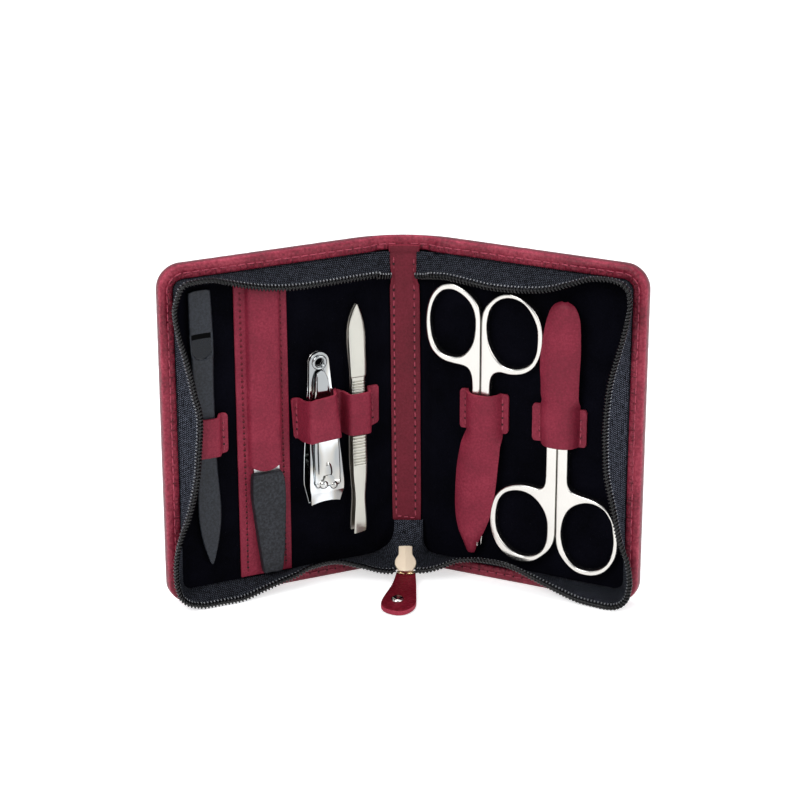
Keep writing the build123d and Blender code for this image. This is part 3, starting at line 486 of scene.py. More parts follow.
def outline_stations():
    """Round the hide from the spine's foot to its top: (s, z, inward s, inward z, share of corner)."""
    out = []
    for i in range(FOOT_STEPS):
        out.append((RUN * i / FOOT_STEPS, 0.0, 0.0, 1.0, 0.0))
    for i in range(CORNER_STEPS):
        t = math.pi / 2 * i / CORNER_STEPS
        out.append((RUN + CORNER * math.sin(t), CORNER - CORNER * math.cos(t), -math.sin(t), math.cos(t),
                    math.sin(2 * t)))
    for i in range(EDGE_STEPS):
        out.append((S_MAX, CORNER + RISE * i / EDGE_STEPS, -1.0, 0.0, 0.0))
    for i in range(CORNER_STEPS):
        t = math.pi / 2 * i / CORNER_STEPS
        out.append((RUN + CORNER * math.cos(t), HEIGHT - CORNER + CORNER * math.sin(t), -math.cos(t),
                    -math.sin(t), math.sin(2 * t)))
    for i in range(FOOT_STEPS + 1):
        out.append((RUN * (1 - i / FOOT_STEPS), HEIGHT, 0.0, -1.0, 0.0))
    return out


def hide_piece(side):
    """Outer face, rolled edge and turned rim of one cover with its half of the spine."""
    stations = outline_stations()
    verts, uv = [], []
    along = 0.0
    for index, (s, z, si, zi, bend) in enumerate(stations):
        top = rim_level(s)
        section = [(4.75, top - 1.9), (4.62, top - 0.7), (4.52, top - 0.2), (4.25, top), (3.6, top + 0.14),
                   (2.85, top + 0.10), (2.5, top - 0.06), (2.15, top + 0.08), (1.6, top + 0.12),
                   (1.1, top), (0.62, top - 0.14), (0.24, top - 0.5), (0.05, top - 1.05), (0.0, top * 0.4),
                   (0.06, 0.15), (0.3, -0.3), (0.8, -0.55), (1.7, OUTER), (3.4, OUTER), (5.6, OUTER),
                   (CORNER, OUTER)]
        if index:
            along += math.dist((s, z), stations[index - 1][:2])
        for d, h in section:
            face = smooth(0.4, 1.2, d) * (1 - smooth(4.0, 4.6, d)) if h > 0.3 else 0.0
            pleat = 0.20 * math.sin(along * 2 * math.pi / 1.7 + 0.8 * math.sin(d * 1.9)) * bend
            low = 0.07 * noise.noise((along * 0.16, d * 0.3, side * 7.0))
            edge = 0.05 * noise.noise((along * 0.35, 9.0, side * 3.0)) * (1 - smooth(0, 1.5, d))
            verts.append(hide_at(side, s + si * (d + edge), h + (pleat + low) * face, z + zi * (d + edge)))
            uv.append((along, d if h > 0.3 else 0.0))
    faces = grid_faces(len(stations), len(section), flip=side == LEFT)
    # the plain outer face inside the border
    edge_from = FOOT_STEPS + CORNER_STEPS
    s_list = [st[0] for st in stations[:FOOT_STEPS]] + [RUN]
    z_list = [st[1] for st in stations[edge_from:edge_from + EDGE_STEPS]] + [HEIGHT - CORNER]
    start = len(verts)
    for s in s_list:
        for z in z_list:
            puff = -0.10 * math.sin(math.pi * (z - CORNER) / RISE) * smooth(20, 32, s) * (1 - smooth(58, 76, s))
            verts.append(hide_at(side, s, OUTER + puff * 1.5, z))
            uv.append((-50.0, -50.0))
    faces += grid_faces(len(s_list), len(z_list), flip=side == LEFT, start=start)
    obj = mesh_object(f"{SIDE_NAME[side]}_hide", verts, faces, RIM_HIDE)
    add_uv(obj, uv)
    modifier(obj, "WELD", merge_threshold=0.00002)
    apply_all(obj)
    obj.data.materials.append(HIDE)
    layer = obj.data.uv_layers["UVMap"].data
    for poly in obj.data.polygons:
        poly.use_smooth = True
        poly.material_index = int(all(layer[i].uv.y <= 0.0 for i in poly.loop_indices))
    obj.data.update()
    names = [f"{SIDE_NAME[side]}_cover_leather", f"{SIDE_NAME[side]}_rim"]
    if side == LEFT:
        names += ["spine_leather", "spine_top_rim", "spine_bottom_rim"]
    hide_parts(*names)
    return obj


def lining_piece(side):
    """Velvet over the board, running on over the spine."""
    s_low, s_high, z_low, z_high = 0.0, S_MAX - FOOT, FOOT, HEIGHT - FOOT
    rows, cols = 90, 110
    verts = []
    for i in range(rows + 1):
        s = mix(s_low, s_high, i / rows)
        for j in range(cols + 1):
            z = mix(z_low, z_high, j / cols)
            edge = min(smooth(0, 6, s_high - s), smooth(0, 6, z - z_low), smooth(0, 6, z_high - z))
            puff = 0.10 * edge * (noise.noise((s * 0.07, z * 0.07, side * 5.0)) - 0.2)
            verts.append(hide_at(side, s, lining_level(s) - 0.03 + puff, z))
    obj = mesh_object(f"{SIDE_NAME[side]}_velvet", verts, grid_faces(rows + 1, cols + 1, flip=side == RIGHT),
                      VELVET)
    names = [f"{SIDE_NAME[side]}_lining"] + (["spine_lining"] if side == LEFT else [])
    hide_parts(*names)
    return obj


def bend_piece(obj):
    """Bake a piece's placement into its mesh."""
    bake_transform(obj)


# ---- zip ----
# inward lean of each coil by share of the way from the hinge's foot round to its top
LEANS = {
    LEFT: [(0.063, 3), (0.1, 2.8), (0.124, 0.8), (0.15, -0.7), (0.172, -2.1), (0.202, -4), (0.23, -4.1),
        (0.258, -4), (0.274, -3.2), (0.301, -4.5), (0.334, -4.3), (0.366, -2.4), (0.399, 0.9), (0.443, 3.5),
        (0.491, 4.7), (0.537, 5.3), (0.57, 3.7), (0.597, 2.5), (0.627, 0.9), (0.653, -0.8), (0.68, -2),
        (0.697, -2), (0.716, -0.5), (0.734, -0.7), (0.763, -0.7), (0.789, 1.1), (0.813, 2.9), (0.842, 4.6),
        (0.878, 5.7), (0.923, 5.9), (1, 6.3)],
    RIGHT: [(0.064, 3.9), (0.087, 4.7), (0.121, 4.3), (0.156, 1.7), (0.19, -1.1), (0.224, -3.4), (0.256, -4),
        (0.271, -4), (0.303, -4.6), (0.33, -3.5), (0.362, -0.4), (0.405, 2), (0.448, 4.5), (0.481, 5.3),
        (0.526, 5.6), (0.576, 4.8), (0.608, 3.3), (0.654, 0.5), (0.693, -1.3), (0.726, -1), (0.742, -1.6),
        (0.77, -0.9), (0.796, 1.6), (0.829, 4.6), (0.862, 6), (0.908, 6.7), (0.942, 6.1), (0.976, 5.7),
        (1, 6.4)],
}
COIL_LEVEL = 6.7
NEAR_COIL = {
    LEFT: [(-2.9, -16.2, 4.2), (-5.8, -16.6, 4.1), (-9.1, -16.7, 4.7), (-14.2, -16.9, 6.2)],
    RIGHT: [(4.4, -16.2, 4.3), (5.9, -16.6, 4.3), (9.1, -16.7, 4.8), (12.6, -16.7, 5.9), (17.6, -16.7, 8.1)],
}


def foot_point(share):
    """Where the tape is sewn in: (a, z, inward a, inward z)."""
    start, radius = 3.2, CORNER - FOOT
    run = WIDTH - CORNER - start
    turn = math.pi / 2 * radius
    way = share * (2 * run + 2 * turn + RISE)
    if way <= run:
        return start + way, FOOT, 0.0, 1.0
    if way <= run + turn:
        t = (way - run) / radius
        return (WIDTH - CORNER + radius * math.sin(t), CORNER - radius * math.cos(t), -math.sin(t), math.cos(t))
    if way <= run + turn + RISE:
        return WIDTH - FOOT, CORNER + way - run - turn, -1.0, 0.0
    if way <= run + 2 * turn + RISE:
        t = (way - run - turn - RISE) / radius
        return (WIDTH - CORNER + radius * math.cos(t), HEIGHT - CORNER + radius * math.sin(t), -math.cos(t),
                -math.sin(t))
    return WIDTH - CORNER - (way - run - 2 * turn - RISE), HEIGHT - FOOT, 0.0, -1.0


def zip_lines(side):
    """Matching points of the tape's foot and of the coil's middle, from the strip's foot to its top."""
    feet, coils = [], []
    off = 0.8
    tail = [((1.9 + side * 4.8, -2.75, 17.0), (off + side * -0.02, -2.95, 17.0)),
            ((1.8 + side * 4.9, -4.2, 13.2), (off + side * -0.02, -6.4, 12.6)),
            ((1.2 + side * 5.6, -5.6, 10.0), (off + side * 0.1, -10.6, 9.2)),
            ((off * 0.5 + side * 7.6, -5.0, 7.2), (off + side * 1.2, -13.6, 6.6))]
    for foot, coil in tail:
        feet.append(Vector(foot) * MM)
        coils.append(Vector(coil) * MM)
    near = NEAR_COIL[side]
    for i, coil in enumerate(near):
        a = mix(0.4, 10.0, i / (len(near) - 1))
        feet.append(cover(side, a, -0.2, mix(5.6, FOOT, min(1.0, i / 1.5))))
        coils.append(Vector(coil) * MM)
    corners = (0.267, 0.2723, 0.2776, 0.283, 0.288, 0.7127, 0.718, 0.7233, 0.7286, 0.7339)
    stations = [p for p in LEANS[side] if not any(0 < abs(p[0] - c) < 0.003 for c in corners)]
    stations = sorted(stations + [(c, table_at(LEANS[side], c)) for c in corners])
    for share, lean in stations:
        a, z, ia, iz = foot_point(share)
        level = COIL_LEVEL - 1.6 * smooth(0.955, 1.0, share)
        feet.append(cover(side, a, -0.3, z))
        coils.append(cover(side, a + ia * lean, level, z + iz * lean))
    feet += [Vector((side * 8.6, -3.9, HEIGHT - FOOT)) * MM, Vector((side * 6.3, -3.1, HEIGHT - FOOT)) * MM,
             Vector((side * 4.4, -2.7, HEIGHT - FOOT - 0.2)) * MM]
    coils += [Vector((side * 8.4, -7.0, 105.9)) * MM, Vector((side * 6.2, -4.9, 105.1)) * MM,
              Vector((side * 4.3, -3.1, 104.7)) * MM]
    steps = 7
    feet = [Vector(p) for p in catmull([tuple(f) for f in feet], steps)]
    coils = [Vector(p) for p in catmull([tuple(c) for c in coils], steps)]
    return feet, coils


def tape_piece(side):
    feet, coils = zip_lines(side)
    columns = 9
    verts, uv = [], []
    along = 0.0
    for i, (foot, coil) in enumerate(zip(feet, coils)):
        if i:
            along += ((foot - feet[i - 1]).length + (coil - coils[i - 1]).length) / 2 / MM
        across = coil - foot
        way = (feet[min(i + 1, len(feet) - 1)] - feet[max(i - 1, 0)]).normalized()
        up = across.cross(way).normalized() * (1 if side == RIGHT else -1)
        width = across.length
        for j in range(columns):
            t = j / (columns - 1)
            ripple = 0.12 * noise.noise((along * 0.14, t * 1.5, side * 4.0))
            verts.append(foot + across * t + up * (0.35 * math.sin(math.pi * t) + ripple) * MM)
            uv.append((along, t * width / MM))
    obj = mesh_object(f"{SIDE_NAME[side]}_tape", verts, grid_faces(len(feet), columns), TAPE)
    add_uv(obj, uv)
    modifier(obj, "SOLIDIFY", thickness=0.45 * MM, offset=0.0)
    apply_all(obj)
    names = [f"{SIDE_NAME[side]}_zip_tape"] + (["zip_tail", "zip_top_ends"] if side == LEFT else [])
    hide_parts(*names)
    return obj


def resample(points, step):
    """Points at even distances, with their source position."""
    lengths = [0.0]
    for a, b in zip(points, points[1:]):
        lengths.append(lengths[-1] + (b - a).length)
    count = max(2, int(lengths[-1] / step))
    out, k = [], 0
    for i in range(count + 1):
        target = lengths[-1] * i / count
        while k < len(points) - 2 and lengths[k + 1] < target:
            k += 1
        t = (target - lengths[k]) / max(1e-12, lengths[k + 1] - lengths[k])
        out.append((k, t))
    return out


def coil_frames(feet, coils, spots):
    """At each spot: the coil's middle, the way along it and the way out from the tape."""
    for k, t in spots:
        centre = coils[k].lerp(coils[k + 1], t)
        foot = feet[k].lerp(feet[k + 1], t)
        yield centre, (coils[k + 1] - coils[k]).normalized(), (centre - foot).normalized()


def coil_piece(side, pitch=1.2, per_turn=12):
    """The nylon coil, wound round its line."""
    feet, coils = zip_lines(side)
    first = 7 * 4
    feet, coils = feet[first:], coils[first:]
    spots = resample(coils, pitch * MM / per_turn)
    points = []
    for i, (centre, way, out) in enumerate(coil_frames(feet, coils, spots)):
        out = (out - way * out.dot(way)).normalized()
        up = way.cross(out)
        turn = 2 * math.pi * i / per_turn
        points.append(centre + (out * (math.cos(turn) * 0.84 - 0.05) + up * math.sin(turn) * 0.66) * MM)
    core = [coils[k].lerp(coils[k + 1], t) for k, t in spots[::per_turn // 2]]
    wound = gather([tube(points, 0.33 * MM, 6), tube(core, 0.46 * MM, 8)])
    obj = mesh_object(f"{SIDE_NAME[side]}_coil", *wound, COIL)
    names = [f"{SIDE_NAME[side]}_zip_coil"] + (["zip_bottom_ends"] if side == LEFT else [])
    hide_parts(*names)
    # the sewing thread that holds the coil, seen as a dot at every turn
    parts = []
    for centre, way, out in coil_frames(feet, coils, resample(coils, pitch * MM)):
        up = way.cross(out).normalized()
        for face in (1, -1):
            at = centre - out * 0.85 * MM + up * face * 0.62 * MM
            parts.append(tube([at - out * 0.28 * MM, at + out * 0.28 * MM], [0.19 * MM, 0.22 * MM], 6))
    sewing = mesh_object(f"{SIDE_NAME[side]}_coil_sewing", *gather(parts), SEW)
    return [obj, sewing]


def stitches(name, line, ups, pitch, length, radius, material=None, wobble=0.1):
    """Thread stitches along a line (metres), each standing a little proud along its up vector."""
    rnd = random.Random(name)
    spots = resample(line, 0.1 * MM)
    count = int(len(spots) / (pitch * 10))
    parts = []
    for c in range(count):
        middle = (c + 0.5) * pitch * 10
        half = length * 5
        pts, radii = [], []
        slant = rnd.uniform(-wobble, wobble)
        for j in range(7):
            q = -1 + j / 3
            index = min(max(int(middle + q * half), 0), len(spots) - 1)
            k, t = spots[index]
            base = line[k].lerp(line[k + 1], t)
            up = ups[k]
            side_way = (line[k + 1] - line[k]).normalized().cross(up)
            lift = 0.16 * (1 - q ** 4) - 0.14
            pts.append(base + up * lift * MM + side_way * (slant * q) * MM)
            radii.append(radius * MM * (0.72 + 0.28 * math.sqrt(max(0.0, 1 - q * q))))
        parts.append(tube(pts, radii, 6))
    return mesh_object(name, *gather(parts), material or THREAD)


def needle_holes(name, line, ups, pitch, radius, rise):
    """A dark dot between every two stitches: painted shade standing in for the needle hole's shadow."""
    parts = []
    for k, t in resample(line, pitch * MM)[1:-1]:
        base = line[k].lerp(line[k + 1], t)
        parts.append(tube([base - ups[k] * 0.3 * MM, base + ups[k] * rise * MM], radius * MM, 8))
    return mesh_object(name, *gather(parts), NEEDLE_HOLE_SHADOW)


def rim_stitches(side, inside=True):
    """The seam that runs round the turned rim, as seen inside or outside."""
    line, ups = [], []
    for s, z, si, zi, _ in outline_stations():
        run, level = (2.5, rim_level(s) + 0.12) if inside else (3.1, OUTER)
        line.append(hide_at(side, s + si * run, level, z + zi * run))
        a, b = hide_at(side, s, 5.0, z), hide_at(side, s, 2.0, z)
        ups.append((a - b).normalized() * (1 if inside else -1))
    face = "" if inside else "_outside"
    obj = stitches(f"{SIDE_NAME[side]}_rim_thread{face}", line, ups, 3.1, 2.3, 0.25 if inside else 0.19)
    dots = needle_holes(f"{SIDE_NAME[side]}_rim_holes{face}", line, ups, 3.1, 0.32, 0.06)
    return [obj, dots]


for side in (LEFT, RIGHT):
    for piece in [hide_piece(side), lining_piece(side)] + rim_stitches(side) + rim_stitches(side, False):
        bend_piece(piece)
    for piece in [tape_piece(side)] + coil_piece(side):
        bend_piece(piece)


# ---- leather straps and sheaths ----
def on_path(points, shares):
    """Points at the given shares of the length of a path."""
    lengths = [0.0]
    for p, q in zip(points, points[1:]):
        lengths.append(lengths[-1] + math.dist(p, q))
    out, k = [], 0
    for share in shares:
        target = share * lengths[-1]
        while k < len(points) - 2 and lengths[k + 1] < target:
            k += 1
        t = (target - lengths[k]) / (lengths[k + 1] - lengths[k])
        out.append(tuple(mix(a, b, t) for a, b in zip(points[k], points[k + 1])))
    return out, lengths[-1]


def cut_leather(name, verts, faces, thickness, edge=0.14, material=None):
    """A sheet of leather given by its middle: thickness, cut edges of their own colour, softened corners."""
    obj = mesh_object(name, verts, faces, material or STRAP_HIDE)
    obj.data.materials.append(CUT_EDGE)
    modifier(obj, "WELD", merge_threshold=0.00001)
    modifier(obj, "SOLIDIFY", thickness=thickness * MM, offset=0.0, use_even_offset=True, material_offset_rim=1)
    soften(obj, edge)
    return apply_smooth(obj)


def corner_inset(d, radius):
    return radius - math.sqrt(max(0.0, radius ** 2 - (radius - d) ** 2)) if d < radius else 0.0


def strap(name, side, profile, feet, tops, thickness=1.0, corner=1.2, sway=None, upper=None):
    """A strap across a cover: its middle follows profile (a, n), and upper along its top edge.

    feet and tops are (share, z) lists."""
    rows, cols = 110, 18
    shares = [i / rows for i in range(rows + 1)]
    line, length = on_path(catmull(profile, 8), shares)
    top_line = on_path(catmull(upper or profile, 8), shares)[0]
    verts = []
    for i, ((low_a, low_n), (top_a, top_n)) in enumerate(zip(line, top_line)):
        share = i / rows
        inset = corner_inset(min(share, 1 - share) * length, corner)
        z0, z1 = table_at(feet, share) + inset, table_at(tops, share) - inset
        for j in range(cols + 1):
            t = j / cols
            z = mix(z0, z1, t)
            a, n = mix(low_a, top_a, t), mix(low_n, top_n, t)
            wave = 0.16 * noise.noise((share * 9, t * 1.5, len(name))) * smooth(0.6, 1.6, n)
            shift = sway(share, t) if sway else 0.0
            verts.append(cover(side, a + shift, n + wave, z))
    obj = cut_leather(name, verts, grid_faces(rows + 1, cols + 1, flip=side == LEFT), thickness)
    return obj


def facing(side):
    """The direction a cover's lining faces."""
    return (cover(side, 0, 1, 0) - cover(side, 0, 0, 0)).normalized()


def sew(name, corners, up, body, pitch, length, radius, material=None):
    """Stitches and needle holes along straight runs between corners (metres)."""
    line = []
    for p, q in zip(corners, corners[1:]):
        count = max(1, int((q - p).length / (0.2 * MM)))
        line += [p.lerp(q, i / count) for i in range(count)]
    line.append(corners[-1])
    ups = [up] * len(line)
    for piece in (stitches(name, line, ups, pitch, length, radius, material),
                  needle_holes(name + "_holes", line, ups, pitch, 0.42, 0.07)):
        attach(piece, body)


def seam(name, side, points, pitch=2.3, length=1.7, radius=0.22, material=None):
    """A seam on a cover along (a, n, z) points."""
    corners = [cover(side, *p) for p in points]
    sew(name, corners, facing(side), f"{SIDE_NAME[side]}_cover", pitch, length, radius, material)


CREST, LEAF_EDGE, LEAF_CREST = 5.05, 3.0, 4.6


def sheath(name, side, edges, strap_z, tab_ends):
    """A leather sheath: a strap with sewn tabs, running on as a leaf.

    edges is (z, left, right) up the piece."""
    low, high = edges[0][0], edges[-1][0]
    curve = catmull(edges, 10)
    z0, z1 = strap_z
    levels = sorted({round(mix(z0, z1, i / 14), 4) for i in range(15)}
                    | {round(mix(low, high, i / 90), 4) for i in range(91)
                       if not z0 - 0.3 < mix(low, high, i / 90) < z1 + 0.3} | {low, high})
    inner, tab = 30, 7
    index, verts, faces = {}, [], []
    for r, z in enumerate(levels):
        left = table_at([(c[0], c[1]) for c in curve], z)
        right = table_at([(c[0], c[2]) for c in curve], z)
        outside = max(z0 - z, z - z1, 0.0)
        leaf = smooth(0.0, 5.0, outside)
        edge_n, top_n = mix(0.5, LEAF_EDGE, leaf), mix(CREST, LEAF_CREST, leaf)
        top_n = edge_n + (top_n - edge_n) * min(1.0, (right - left) / 7.0)
        power = mix(3.4, 2.6, leaf)
        for c in range(inner + 1):
            t = -math.cos(math.pi * c / inner)
            n = edge_n + (top_n - edge_n) * (1 - abs(t) ** power)
            crease = 0.10 * noise.noise((z * 0.16, t * 1.2, len(name) * 1.0)) * (1 - abs(t))
            index[r, tab + c] = len(verts)
            verts.append(cover(side, mix(left, right, (t + 1) / 2), n + crease, z))
        if z0 - 0.001 <= z <= z1 + 0.001:
            middle, half = (z0 + z1) / 2, (z1 - z0) / 2
            for way, base, end in ((-1, left, tab_ends[0]), (1, right, tab_ends[1])):
                width = abs(end - base)
                for k in range(1, tab + 1):
                    d = width * (1 - k / tab)
                    scale = (half - corner_inset(d, 1.0)) / half
                    zz = middle + (z - middle) * scale + way * 0.12 * k / tab
                    column = tab - k if way < 0 else tab + inner + k
                    index[r, column] = len(verts)
                    verts.append(cover(side, mix(base, end, k / tab), 0.5, zz))
    for r in range(len(levels) - 1):
        for c in range(inner + 2 * tab):
            quad = [index.get(key) for key in ((r, c), (r, c + 1), (r + 1, c + 1), (r + 1, c))]
            if None not in quad:
                faces.append(tuple(quad) if side == LEFT else tuple(quad[::-1]))
    obj = cut_leather(name, verts, faces, 1.0)
    return obj


# pusher's loop: its outer end lies under the tape
loop = strap("pusher_strap", LEFT,
    [(53.6, 0.5), (55.4, 0.5), (56.2, 0.7), (56.9, 1.7), (57.8, 2.55), (61.4, 2.75), (64.8, 2.6), (65.9, 1.8),
     (66.5, 0.8), (67.3, 0.5), (69.2, 0.5)], [(0, 52), (0.25, 51.6), (1, 51.9)],
    [(0, 65.7), (0.2, 65.8), (0.3, 65), (0.7, 65.3), (1, 65.8)])
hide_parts("pusher_loop")
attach(loop, "left_cover")
seam("pusher_strap_thread", LEFT, [(55.2, 1.0, 52.6), (55.3, 1.0, 65.0)])

# loop round the clipper and the tweezers
OVER_TWEEZERS = [(-0.1, 0.5), (2.4, 0.5), (3.6, 0.75), (4.2, 2.6), (5, 5.2), (6, 6), (8.6, 6.15), (11.2, 6),
                 (12.3, 5.2), (12.8, 2.4), (13.5, 0.7), (15.2, 0.6)]
DOWN_CLIPPER = [(26.6, 10.0), (27.8, 9.4), (28.2, 6.0), (28.5, 2.0), (29.0, 0.7), (29.8, 0.5), (31.0, 0.5)]
double = strap("clipper_tweezer_strap", LEFT,
    OVER_TWEEZERS + [(15.9, 1.6), (16.7, 5.6), (17.5, 9.4), (18.4, 9.98), (22.2, 10.12)] + DOWN_CLIPPER,
    [(0, 53.6), (0.05, 52.6), (0.14, 52.3), (0.3, 52.4), (0.42, 52.1), (0.55, 54.4), (0.75, 53.9), (0.9, 52.3),
     (1, 52.6)],
    [(0, 66.8), (0.07, 66.9), (0.14, 67.1), (0.3, 66.9), (0.4, 66.9), (0.5, 69.2), (0.56, 69.8), (0.76, 68.9),
     (0.84, 67.6), (0.9, 66.8), (1, 66.8)], corner=0.7,
    sway=lambda share, t: 0.9 * (t - 0.8) * smooth(0.94, 1.0, share),
    upper=OVER_TWEEZERS + [(16.0, 1.6), (17.8, 5.6), (19.2, 9.3), (20.2, 9.95), (23.0, 10.12)] + DOWN_CLIPPER)
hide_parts("clipper_tweezer_loop")
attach(double, "left_cover")
seam("tweezer_tab_thread", LEFT, [(2.1, 1.0, 52.9), (2.6, 1.0, 66.4)], 2.4, 1.8, 0.22)
seam("valley_thread", LEFT, [(14.5, 1.15, 53.0), (14.8, 1.15, 66.4)], 2.4, 1.8, 0.22)
seam("clipper_tab_thread", LEFT, [(29.35, 1.03, 53.4), (29.5, 1.03, 66.2)], 2.4, 1.8, 0.22)

# sheath of the nail scissors: the leaf hangs down
nail = sheath("nail_sheath", RIGHT,
    [(10.2, 16.3, 18.1), (10.8, 15.9, 18.3), (13.4, 14.8, 19.1), (16, 13.6, 20.3), (18.6, 12.6, 21.6),
     (23.3, 11.75, 23.4), (28.3, 11.5, 24.5), (34, 11.6, 25.5), (41.3, 12.1, 26.2), (48, 13.2, 26.8),
     (51.5, 14, 26.8), (53.7, 14.6, 26.6), (56, 14.2, 26.4), (60, 14.1, 26.4), (67.6, 14.1, 26.2)],
    (53.8, 67.6), (11.7, 28.9))
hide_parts("nail_scissors_sheath")
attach(nail, "right_cover")
seam("nail_tab_thread_left", RIGHT, [(13.7, 1.0, 54.8), (13.8, 1.0, 66.6)])
seam("nail_tab_thread_right", RIGHT, [(27.0, 1.0, 54.8), (26.9, 1.0, 66.6)])

# sheath of the cuticle scissors: the leaf stands up
cuticle = sheath("cuticle_sheath", RIGHT,
    [(53.6, 41, 53.6), (58, 40.6, 53.8), (63, 40.5, 53.8), (66.6, 40.7, 53.7), (69.3, 41.5, 54.1),
     (75.4, 41.4, 54.2), (80, 41.1, 54.3), (85, 41.2, 54.5), (90, 41.8, 54.5), (95, 42.6, 54.3),
     (98.5, 43.5, 53.9), (101, 44.5, 53), (102.6, 45.8, 51.8), (103.6, 48, 49.6)], (53.6, 66.6), (37.5, 56.5))
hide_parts("cuticle_scissors_sheath")
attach(cuticle, "right_cover")
seam("cuticle_tab_thread_left", RIGHT, [(40.2, 1.0, 54.6), (40.3, 1.0, 65.8)])
seam("cuticle_tab_thread_right", RIGHT, [(54.6, 1.0, 54.4), (54.6, 1.0, 65.8)])


# ---- file pocket: a strip sewn down its sides, with a slit the file goes through ----
def pocket():
    rows, cols = 26, 120
    verts = []
    for i in range(rows + 1):
        t = i / rows
        for j in range(cols + 1):
            z = mix(5.8, 111.0, j / cols)
            a = mix(table_at([(5, 32.0), (60, 32.1), (111, 32.5)], z),
                    table_at([(5, 50.0), (60, 50.3), (111, 50.5)], z), t)
            groove = -0.12 * (math.exp(-((a - 34.5) / 0.5) ** 2) + math.exp(-((a - 48.1) / 0.5) ** 2))
            verts.append(cover(LEFT, a, 0.45 + groove + 0.05 * noise.noise((a * 0.3, z * 0.1, 2.0)), z))
    base = cut_leather("pocket_leather", verts, grid_faces(rows + 1, cols + 1), 0.9)
    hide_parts("pocket_strip")
    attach(base, "left_cover")
    section = catmull(
        [(34.7, 0.42), (35.2, 0.5), (35.6, 1), (35.9, 2.1), (36.9, 2.75), (40.8, 2.95), (44.9, 2.75), (46, 2.1),
         (46.4, 1), (46.9, 0.5), (47.5, 0.42)], 5)
    verts = []
    for a, n in section:
        t = (a - 41.2) / 5.0
        foot = 43.9 + 1.9 * min(1.0, abs(t)) ** 2.2
        for j in range(101):
            z = mix(foot, 110.6, j / 100)
            keep = 1 - 0.75 * smooth(107.6, 110.4, z)
            dip = 0.09 * noise.noise((a * 0.35, z * 0.07, 8.0))
            verts.append(cover(LEFT, a, 0.42 + (n - 0.42) * keep + (dip if n > 1 else 0), z))
    over = cut_leather("pocket_bulge", verts, grid_faces(len(section), 101), 1.0)
    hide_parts("pocket_sheath")
    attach(over, "left_cover")


pocket()
seam("pocket_thread_left", LEFT, [(47.7, 0.8, 7.0), (47.6, 0.8, 30.0), (48.1, 0.8, 59.0), (48.6, 0.8, 108.0)],
     2.0, 1.2, 0.21, SEAM_THREAD)
seam("pocket_thread_right", LEFT, [(34.1, 0.8, 7.0), (34.3, 0.8, 40.0), (34.6, 0.8, 62.0), (34.8, 0.8, 108.0)],
     2.0, 1.2, 0.21, SEAM_THREAD)


# ---- centre strip ----
def on_spine(s, h, z):
    return hide_at(RIGHT if s >= 0 else LEFT, abs(s), h, z)


def centre_strip():
    left = [(15, -3.55), (24, -3.75), (60, -4.1), (89, -4.3), (98, -4.5), (101, -4.45), (102.6, -4.2),
            (106.2, -4.15), (109.1, -4.8), (112.9, -4.9), (117, -4.9)]
    right = [(15, 6.2), (24, 6.3), (60, 6), (89, 5.8), (98, 5.7), (101.5, 5.5), (102.8, 4.9), (105.7, 5),
             (109.1, 5.4), (112.9, 5.6), (117, 5.6)]
    verts = []
    rows, cols = 22, 130
    for i in range(rows + 1):
        t = i / rows
        for j in range(cols + 1):
            z = mix(mix(16.8, 14.9, t), 115.2, j / cols)
            s = mix(table_at(left, z), table_at(right, z), t)
            pinch = smooth(99.5, 102.0, z) * (1 - smooth(106.5, 109.0, z))
            lift = 0.75 * pinch * (smooth(0.82, 1.0, t) + smooth(0.82, 1.0, 1 - t))
            over = 0.9 * smooth(111.9, 113.9, z)
            groove = -0.12 * (math.exp(-((t - 0.12) / 0.04) ** 2) + math.exp(-((t - 0.80) / 0.04) ** 2))
            grain = 0.05 * noise.noise((s * 0.4, z * 0.12, 5.0))
            verts.append(on_spine(s, 1.63 + groove + lift + over + grain, z))
    faces = grid_faces(rows + 1, cols + 1, flip=True)
    obj = cut_leather("centre_leather", verts, faces, 0.8, material=STRIP_HIDE_SHADED)
    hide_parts("centre_strip")
    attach(obj, "spine")


def spine_seam(name, points, pitch=3.0, length=1.7):
    sew(name, [on_spine(*p) for p in points], Vector((0, -1, 0)), "spine", pitch, length, 0.23)


centre_strip()
spine_seam("strip_thread_left", [(-2.4, 1.98, 18.4), (-2.9, 1.98, 50), (-3.2, 1.98, 98), (-3.3, 2.0, 111.5)])
spine_seam("strip_thread_right", [(4.4, 1.98, 17.8), (4.3, 1.98, 50), (3.85, 1.98, 98), (3.7, 2.0, 111.5)])
spine_seam("strip_thread_foot", [(-2.4, 1.98, 18.2), (4.4, 1.98, 17.4)], 2.2, 1.2)


# ---- scissors ----
LAYER = (0.6, 3.6)            # from the lining to the scissors' face


def scissors_piece(name, node, edge, straight, eye, pivot_z, blade_up, upper, split, taper):
    """One half in its own layer: full thickness at the rings, half at the blades, and a tip that runs out fine.

    edge is a curve up one side, straight closes it along the blade, and eye is the ring's hole."""
    low, high = LAYER

    def place(a, z, q):
        a = split + (a - split) * table_at(taper, z)
        blade = smooth(3.0, 9.0, (z - pivot_z) if blade_up else (pivot_z - z))
        middle = (low + high) / 2
        bottom = mix(low, middle + 0.04, blade) if upper else low
        top = high if upper else mix(high, middle - 0.04, blade)
        share = (q + (high - low) / 2) / (high - low)
        return cover(RIGHT, a, mix(bottom, top, share), z)

    outlines = [catmull(edge, 4) + straight, catmull(eye, 4, closed=True)]
    obj = flat_shape(name, outlines, high - low, 0.62, STEEL, 4)
    seat(obj, place)
    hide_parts(node)
    return obj


